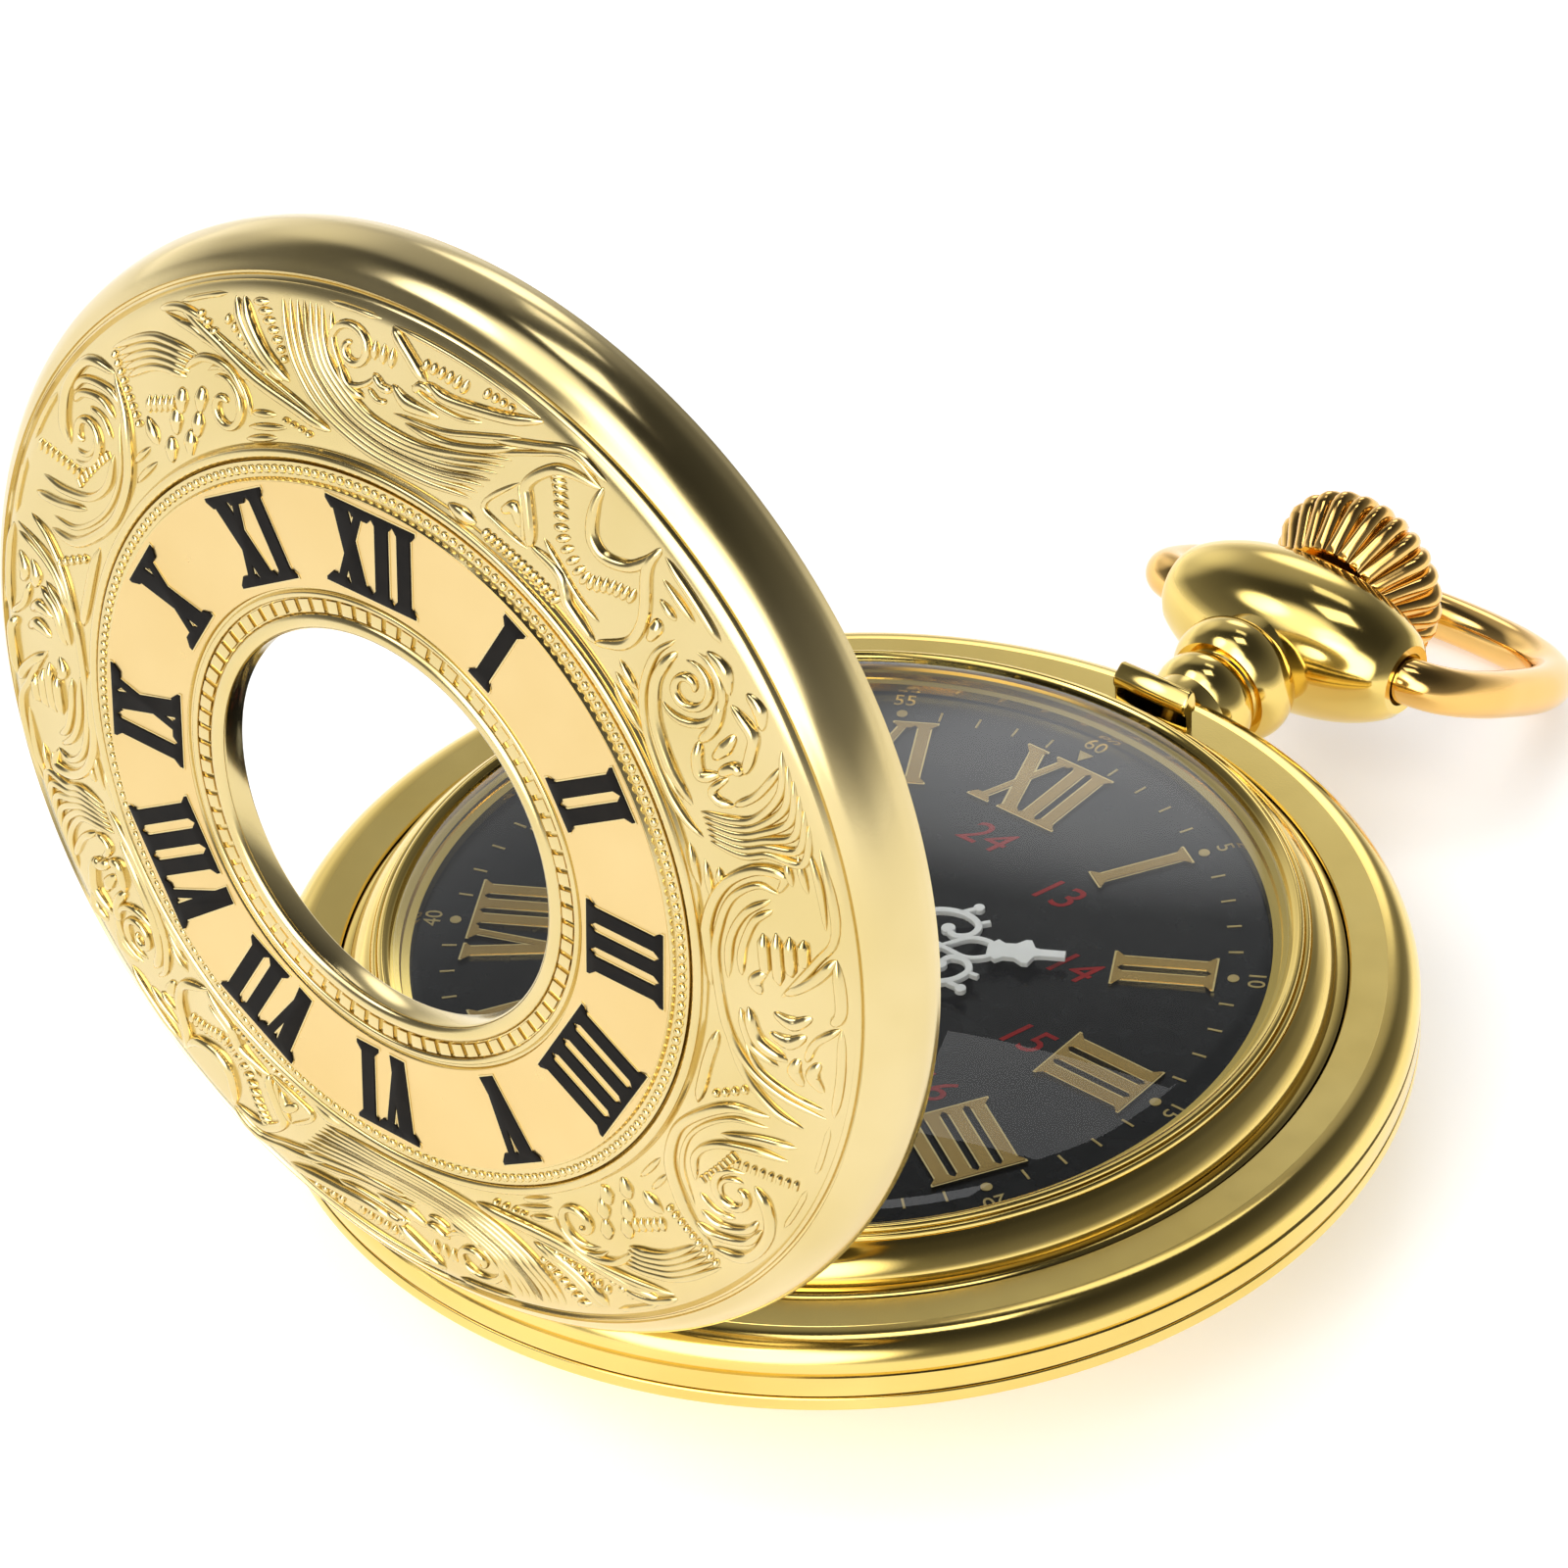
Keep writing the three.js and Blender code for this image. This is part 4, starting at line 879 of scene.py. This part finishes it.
def c_scroll(c):
    """A C-scroll with a leaf panel, hanging bars, and crescents that close its far side."""
    c.curve((70, 2.55), (79, 2.5), (83, 1.55), (88.5, 0.1))
    c.curves([(82.2, 2.35), (88, 2.45), (90, 2.1)], [(82.2, 2.35), (85, 1.5), (88, 0.2)], style=BOLD)
    back = [(75, 0.5), (72.9, 0.9), (72.2, -0.2), (74, -1.5), (78, -2.4), (84, -2.85), (90, -2.85)]
    c.curve(*back, style=BOLD)
    sweep = [(75.2, 0.5), (74.2, -0.3), (76, -1.4), (80, -2.1), (86, -2.45), (95, -2), (100, -0.9)]
    c.curve(*sweep, (102, 0.5), (102.2, 2.3))
    c.curve((76, 0.1), (78, -1), (82, -1.75), (88, -2))
    c.curve((77.3, 0.1), (79, -0.7), (83, -1.3), (87, -1.45))
    c.curves([(80.5, 1.15), (84, 1.1)], [(80.4, 0.6), (85.5, 0.55)], [(80.2, 0.08), (87, 0.05)],
             [(80.5, -0.45), (86, -0.45)], style=BOLD)
    c.curve((85.5, -0.45), (87.2, -0.9), (89, -0.7), style=LEAF)
    c.curves([(90.3, 2.45), (96, 2.55), (101.5, 2.55)], [(90.3, 2.4), (93, 1.5), (96, 1.2)])
    c.curves([(90, 1.3), (91.5, 0.6), (91, -0.2)], [(92.6, 1.1), (94.2, 0.5), (94, -0.3)],
             [(95.4, 1.7), (97.4, 1.5), (99, 2)], [(96, 0.9), (97.8, 0.8), (99.4, 1.2)], style=LEAF)
    c.curve((97, 0.5), (95.5, -0.7), (91.5, -1.2), style=BOLD)
    c.curve((98.3, 0.2), (97, -0.8), (95, -1.2), (92, -1.5))
    c.curve((101.2, 2.2), (101.2, 0.9), (100, -0.4), (97, -1.2), style=FINE)
    c.curve((105, 1.6), (104.5, 0.4), (102, -0.8), (98, -1.6), (90, -2.5))
    c.bars((103.6, -0.4), (107.6, -1.7), 5, (0.45, 0.4), 215)
    c.curve((97, -2.3), (103, -2.45), (110.5, -2.35), style=BOLD)


def big_volute(c):
    """The large spiral: two coils on curved stems, a combed fringe inside, and a beaded line beyond."""
    c.curves([(102.8, 2.5), (110, 2.6)], [(112.5, 2.55), (119.5, 2.6)], style=FINE)
    c.curve((108, 1.6), (110, 0.2), (113, -1.1))
    c.curve((110.5, 1.5), (112, 0.2), (115, -1.05), (119, -1.45), (123, -0.9))
    coil = [(106, 0.3), (108, -1.2), (113, -2.2), (118, -2.5), (124, -1.9), (128.5, -0.3), (130, 1.3)]
    c.curve(*coil, style=BOLD)
    c.curve((130, 1.3), (127, 2.35), (122, 2.35), (118.5, 1.7), (117, 0.9), style=BOLD)
    c.curve((107.6, 0.4), (109.4, -0.9), (113.4, -1.75), (118, -2), (123, -1.5), (127, -0.2), style=FINE)
    c.bars((112.2, 2.1), (114.8, -0.1), 8, (0.5, 0.5), 10, style=FINE)
    c.bars((114.6, -0.5), (121.6, -0.9), 8, (0.45, 0.4), 70, style=FINE)
    c.curl((120, 0.55), 1.15, 0.2, 190, 560)
    c.curl((120, 0.55), 0.7, 0.65, 180, 330, style=FINE)
    c.curve((121.3, 1.75), (123.5, 1.65), (126, 0.9), (126.5, 0))
    c.curve((122, 2.05), (125, 1.95), (128, 1), (128.8, 0.2))
    c.curve((123.4, 1.1), (124.6, 0.4), (124.2, -0.5), style=FINE)
    for share in np.linspace(0, 1, 9):
        x, y = 131.5 - share, 1.8 - 2.6 * share
        c.line(np.linspace((x - 0.5, y), (x + 0.5, y + 0.12), 5), **BAR)
    c.curves([(126, -1.75), (130.5, -1.7)], [(124.5, -2.35), (130.5, -2.3)], style=BAR)
    c.line(np.linspace((132.4, -0.7), (132.2, -1.8), 8), **LEAF)


def leaves(c):
    """A bundle of arcs over a small spiral among lobes."""
    upper = [(131.5, 2.1), (138, 1.75), (141, 1.3), (145, 0.5)]
    c.fan(upper, [(132, 0.9), (136.5, 0.75), (139.5, 0.4), (142, -0.1)], 5)
    c.bars((134.5, -0.1), (138.6, -0.5), 5, (0.7, 0.7), 235)
    c.curl((147.5, -1.45), 1.15, 0.2, 100, -330)
    c.curl((147.5, -1.45), 1.45, 1.4, 110, -20, style=FINE)
    c.curve((142, 0.2), (146, 0.4), (150, -0.2), (151.8, -1.4))
    for x, y in ((137.5, -1.5), (139.8, -0.9), (141.4, -1.9), (143.4, -1.1), (134.5, -2.3), (138.8, -2.4)):
        c.curve((x - 0.9, y - 0.35), (x + 0.2, y + 0.15), (x + 1.1, y + 0.5), style=LEAF)
    c.curves([(143, 1.9), (145.5, 1.5), (147.5, 0.8)], [(141, 2.5), (144.5, 2.3), (147.8, 1.6)])
    c.bars((147.8, 2.0), (150.6, 0.6), 5, (0.45, 0.4), 200)
    c.curves([(152, -1.75), (156.5, -1.85)], [(151, -2.25), (158, -2.3)], style=BAR)
    c.curve((150, -2.7), (156, -2.7), style=BAR)


def scrollwork():
    chasing = Chasing()
    for half in (False, True):
        chasing.second_half = half
        for motif in (band, ridge, bundle, hook, blade, shield, small_volute, c_scroll, big_volute, leaves):
            motif(chasing)
    chasing.solid.piece("cover_scrollwork", pale_gold, *ON_COVER)


# ---- dial ----
def dial():
    bottom, dip = 8.4, DIAL_TOP - 0.05
    profile = [(0, bottom), (DIAL_RADIUS, bottom), (DIAL_RADIUS, DIAL_TOP)]
    profile += [(1.3, DIAL_TOP), (1.25, dip), (0, dip)]
    Solid().turned(profile, 192).piece("dial_plate", dial_black, "case", "black_lacquer", replaces=["dial"])


def digits(text, height, slant):
    """Flat digits in the built-in font, centred on the origin."""
    curve = bpy.data.curves.new("digits", "FONT")
    curve.body = text
    curve.align_x = "CENTER"
    curve.align_y = "CENTER"
    curve.shear = slant
    curve.resolution_u = 3
    holder = add_object("digits", curve)
    bm = bmesh.new()
    bm.from_mesh(holder.to_mesh())
    bpy.data.objects.remove(holder)
    bpy.data.curves.remove(curve)
    digit_height = 0.7
    bmesh.ops.scale(bm, vec=(height / digit_height,) * 3, verts=bm.verts)
    return bm


def print_digits(solid, text, height, place, slant=0.0):
    """Adds digits as a thin layer of print."""
    thickness = 0.03
    bm = digits(text, height, slant)
    thicken(bm, thickness)
    bm.transform(place)
    solid.take(bm)


def dial_numerals():
    """Applied numerals: a face in darker gold as painted shade, inside a fine edge in lighter gold as a painted
    highlight.
    """
    radius, foot = 13.2, DIAL_TOP - 0.02
    faces = numeral_ring(DIAL_NUMERAL, radius, foot, DIAL_TOP + 0.16, bevel=0)
    edges = numeral_ring(DIAL_NUMERAL, radius, foot, DIAL_TOP + 0.14, bevel=0, grow=0.08)
    faces.piece("dial_numerals", numeral_gold_painted_shade, "case", "case_gold")
    edges.piece("dial_numeral_edges_painted_highlight", edge_gold, "case", "case_gold")


def dial_minutes():
    """A stroke for each minute, a dot for every fifth, a triangle at 60, and the numbers outside them."""
    marks = Solid()
    mark_radius, number_radius, number_height = 16.0, 16.92, 0.72
    for minute in range(60):
        if minute % 5:
            mark = stroke(0, -0.3, 0, 0.3, 0.1)
        elif minute:
            mark = disc(0, 0, 0.24, 14)
        else:
            mark = [(-0.36, 0.32), (0.36, 0.32), (0, -0.34)]
        marks.prism([mark], DIAL_TOP - 0.02, DIAL_TOP + 0.03, 0, on_clock(6 * minute, mark_radius))
        if minute % 5 == 0:
            place = on_clock(6 * minute, number_radius, DIAL_TOP - 0.01)
            print_digits(marks, str(minute or 60), number_height, place)
    marks.piece("dial_minute_marks", print_gold, "case", "case_gold")


def dial_second_hours():
    """The red hours 13 to 24, upright and slanted."""
    red = Solid()
    ring_radius, number_height, slant = 9.3, 1.5, 0.28
    for hour in range(1, 13):
        angle = math.radians(30 * hour)
        spot = (ring_radius * math.sin(angle), ring_radius * math.cos(angle), DIAL_TOP - 0.01)
        print_digits(red, str(12 + hour), number_height, Matrix.Translation(spot), slant)
    red.piece("dial_red_hours", red_print, "case", "black_lacquer")


def ribbon(points, width):
    """A flat strip of constant width along a smooth line, as four-sided polygons."""
    line = smooth_line(points, 6)
    ahead = np.gradient(line, axis=0)
    ahead /= np.linalg.norm(ahead, axis=1)[:, None]
    side = np.stack([-ahead[:, 1], ahead[:, 0]], -1) * width / 2
    left, right = line + side, line - side
    corners = zip(left, right, right[1:], left[1:])
    return [[tuple(corner) for corner in strip] for strip in corners]


def disc(x, y, radius, count=20):
    angles = np.arange(count) * TURN / count
    return [(x + radius * math.cos(a), y + radius * math.sin(a)) for a in angles]


def hand_shape(scale, reach, tip_start, hub):
    """An openwork hand: crossed lines in a lens, a scroll loop at each side, a spool and a fine tip."""
    def placed(points, side=1):
        return [(side * x * scale, (y + HAND_OUTWARD) * scale) for x, y in points]

    lens = [(0.9, 1.1), (0.55, 2.0), (-0.1, 3.0), (-0.62, 3.9), (-0.5, 4.7), (-0.1, 5.1)]
    loop = [(0.8, 1.2), (1.8, 1.5), (2.3, 2.4), (2.15, 3.5), (1.5, 4.15), (0.85, 3.95)]
    loop += [(0.7, 3.3), (1.15, 2.9)]
    foot = hub / scale - HAND_OUTWARD
    shape = ribbon(placed([(-0.95, 1.2), (0, foot), (0.95, 1.2)]), 0.4 * scale)
    for side in (-1, 1):
        shape += ribbon(placed(lens, side), 0.24 * scale)
        shape += ribbon(placed(loop, side), 0.3 * scale)
        shape += ribbon(placed([(2.2, 3.3), (2.55, 3.95)], side), 0.24 * scale)
        shape += ribbon(placed([(1.55, 4.1), (1.75, 4.6)], side), 0.2 * scale)
        for x, y, radius in ((1.15, 2.95, 0.3), (2.6, 4.0, 0.24)):
            shape.append(disc(*placed([(x, y)], side)[0], radius * scale))
    spool = [(0.3, 4.7), (0.66, 5.1), (0.44, 5.4), (0.46, 5.85), (0.74, 6.2), (0.74, 6.45), (0.28, 6.65)]
    edge = placed(spool) + [(0.22 * scale, tip_start), (0.21, reach)]
    shape.append(anticlockwise(edge + [(-x, y) for x, y in reversed(edge)]))
    return shape


def hand(node, height_range, angle, scale, reach, tip_start, hub, bore, boss):
    """One hand: its openwork, and a ring on its arbor."""
    bottom, top = height_range
    solid = Solid()
    solid.prism(hand_shape(scale, reach, tip_start, hub), bottom, top, 0.04, on_clock(angle, 0))
    solid.turned([(bore, bottom), (boss, bottom), (boss, top), (bore, top)], 48)
    solid.piece(node + "_openwork", white_paint, node, "white_lacquer", replaces=[node])


def hands():
    hour = {"scale": 1.0, "reach": 9.2, "tip_start": 8.15, "hub": 1.7, "bore": 1.22, "boss": 1.75}
    minute = {"scale": 1.25, "reach": 14.4, "tip_start": 10.3, "hub": 1.5, "bore": 0.84, "boss": 1.6}
    hand("hour_hand", HOUR_HAND_Z, HOUR_HAND_ANGLE, **hour)
    hand("minute_hand", MINUTE_HAND_Z, MINUTE_HAND_ANGLE, **minute)


# ---- stage ----
FLOOR_SIZE = 6.0
# Soft lamps of the surround: direction, brightness, and the angles where the fade starts and ends.
GLOWS = (
    ((0.28, -0.85, 0.45), 4.0, 14, 31),
    ((0.1, -0.57, 0.8), 2.4, 3, 15),
    ((-0.49, -0.41, 0.77), 3.0, 5, 13),
    ((-0.2, -0.52, 0.83), 1.7, 6, 24),
    ((-0.6, 0.6, 0.53), 0.32, 10, 36),
    ((-0.92, 0.3, 0.24), 0.5, 8, 28),
    ((-0.45, 0.78, 0.43), 1.8, 2, 14),
)
VIEW_FROM = (139.65, -160.81, 171.32)  # the camera, from the middle of the dial
VIEW_BACK = (0.5265, -0.5951, 0.6072)
VIEW_UP = (-0.3635, 0.4880, 0.7935)


def floor():
    """A plain pale table. The watch lies on its back and its bow, so the table leans in its frame."""
    bm = bmesh.new()
    bmesh.ops.create_grid(bm, x_segments=8, y_segments=8, size=FLOOR_SIZE / 2)
    mesh = bpy.data.meshes.new("floor")
    bm.to_mesh(mesh)
    bm.free()
    table = add_object("floor", mesh)
    touch_y, bow_y = -11.0, 44.6  # where the back and the bow touch the table
    slope = math.atan2(-low("bow").z, bow_y - touch_y)
    table.rotation_euler = (-slope, 0, 0)
    table.location = Vector((0, touch_y, -0.05)) * MM
    material, tree, shader = node_material("floor_white")
    colour = tint(tree, noise(tree, 12, 2), (0.88, 0.88, 0.88), (0.92, 0.92, 0.92))
    glowing = {"Emission Color": (1, 1, 1, 1), "Emission Strength": 0.36}
    feed(tree, shader, {"Base Color": colour, "Roughness": 0.8, **glowing})
    mesh.materials.append(material)


def softbox(name, place, target, width, height, power):
    """A rectangular lamp aimed at a point."""
    light = bpy.data.lights.new(name, "AREA")
    light.shape = "RECTANGLE"
    light.size = width * MM
    light.size_y = height * MM
    light.energy = power
    lamp = add_object(name, light)
    lamp.location = Vector(place) * MM
    aim = Vector(target) - Vector(place)
    lamp.rotation_euler = aim.to_track_quat("-Z", "Y").to_euler()
    return lamp


def glow(tree, direction, value, inner, outer):
    """A soft round patch of light: full within the inner angle of a direction, gone beyond the outer one."""
    place = add_node(tree, "TexCoord", {})["Generated"]
    aim = Vector(direction).normalized()
    nearness = add_node(tree, "VectorMath", {0: place, 1: aim}, operation="DOT_PRODUCT")["Value"]
    edges = {"From Min": math.cos(math.radians(outer)), "From Max": math.cos(math.radians(inner))}
    fade = {"Value": nearness, "To Max": value, **edges}
    return add_node(tree, "MapRange", fade, interpolation_type="SMOOTHSTEP")["Result"]


def world_light():
    """A dark studio with a pale horizon and large soft lamps at its sides."""
    world = bpy.data.worlds.new("studio")
    bpy.context.scene.world = world
    world.use_nodes = True
    tree = world.node_tree
    ramp = tree.nodes.new("ShaderNodeValToRGB")
    # How far up from the horizon, and the brightness there.
    stops = [(0.0, 1.0), (0.1, 0.6), (0.24, 0.22), (0.5, 0.14), (0.8, 0.06), (1.0, 0.03)]
    elements = ramp.color_ramp.elements
    while len(elements) < len(stops):
        elements.new(0.5)
    for element, (position, value) in zip(elements, stops):
        element.position = position
        element.color = (value, value, value, 1)
    direction = add_node(tree, "TexCoord", {})["Generated"]
    feed(tree, ramp, {"Fac": add_node(tree, "SeparateXYZ", {"Vector": direction})["Z"]})
    total = ramp.outputs["Color"]
    for lamp in GLOWS:
        total = add_node(tree, "Math", {0: total, 1: glow(tree, *lamp)}, operation="ADD")["Value"]
    feed(tree, tree.nodes["Background"], {"Color": total, "Strength": 1.0})


def camera():
    """The view: 41 degrees right of the six o'clock side and 39 above, through a long lens."""
    lens = bpy.data.cameras.new("camera")
    lens.lens = 154.6
    lens.sensor_width = 36
    lens.clip_start = 0.01
    lens.clip_end = 20
    viewer = add_object("camera", lens)
    back = Vector(VIEW_BACK).normalized()
    up = Vector(VIEW_UP).normalized()
    right = up.cross(back).normalized()
    up = back.cross(right)
    turn = Matrix((right, up, back)).transposed().to_4x4()
    x, y, z = VIEW_FROM
    place = Vector((x, y, z + DIAL_TOP)) * MM
    viewer.matrix_world = Matrix.Translation(place) @ turn
    bpy.context.scene.camera = viewer


def stage():
    floor()
    dial_edge = (0, 30, 6)
    softbox("window", (-80, 212, 355), dial_edge, width=100, height=64, power=0.026)
    softbox("overhead", (-10, 40, 380), dial_edge, width=120, height=90, power=0.08)
    fill = softbox("floor_fill", (0, 0, 900), (0, 0, 0), width=900, height=900, power=2.25)
    fill.visible_glossy = False  # it whitens the floor and stays out of the gold's reflections
    world_light()
    camera()
    bpy.context.scene.view_settings.view_transform = "Standard"


dress_cad_nodes()
case_middle()
back_cover()
bezel()
crystal()
lid_catch()
pendant()
bow()
crown()
front_cover_shell()
chapter_band()
bead_ring()
cover_numerals()
scrollwork()
dial()
dial_numerals()
dial_minutes()
dial_second_hours()
hands()
stage()
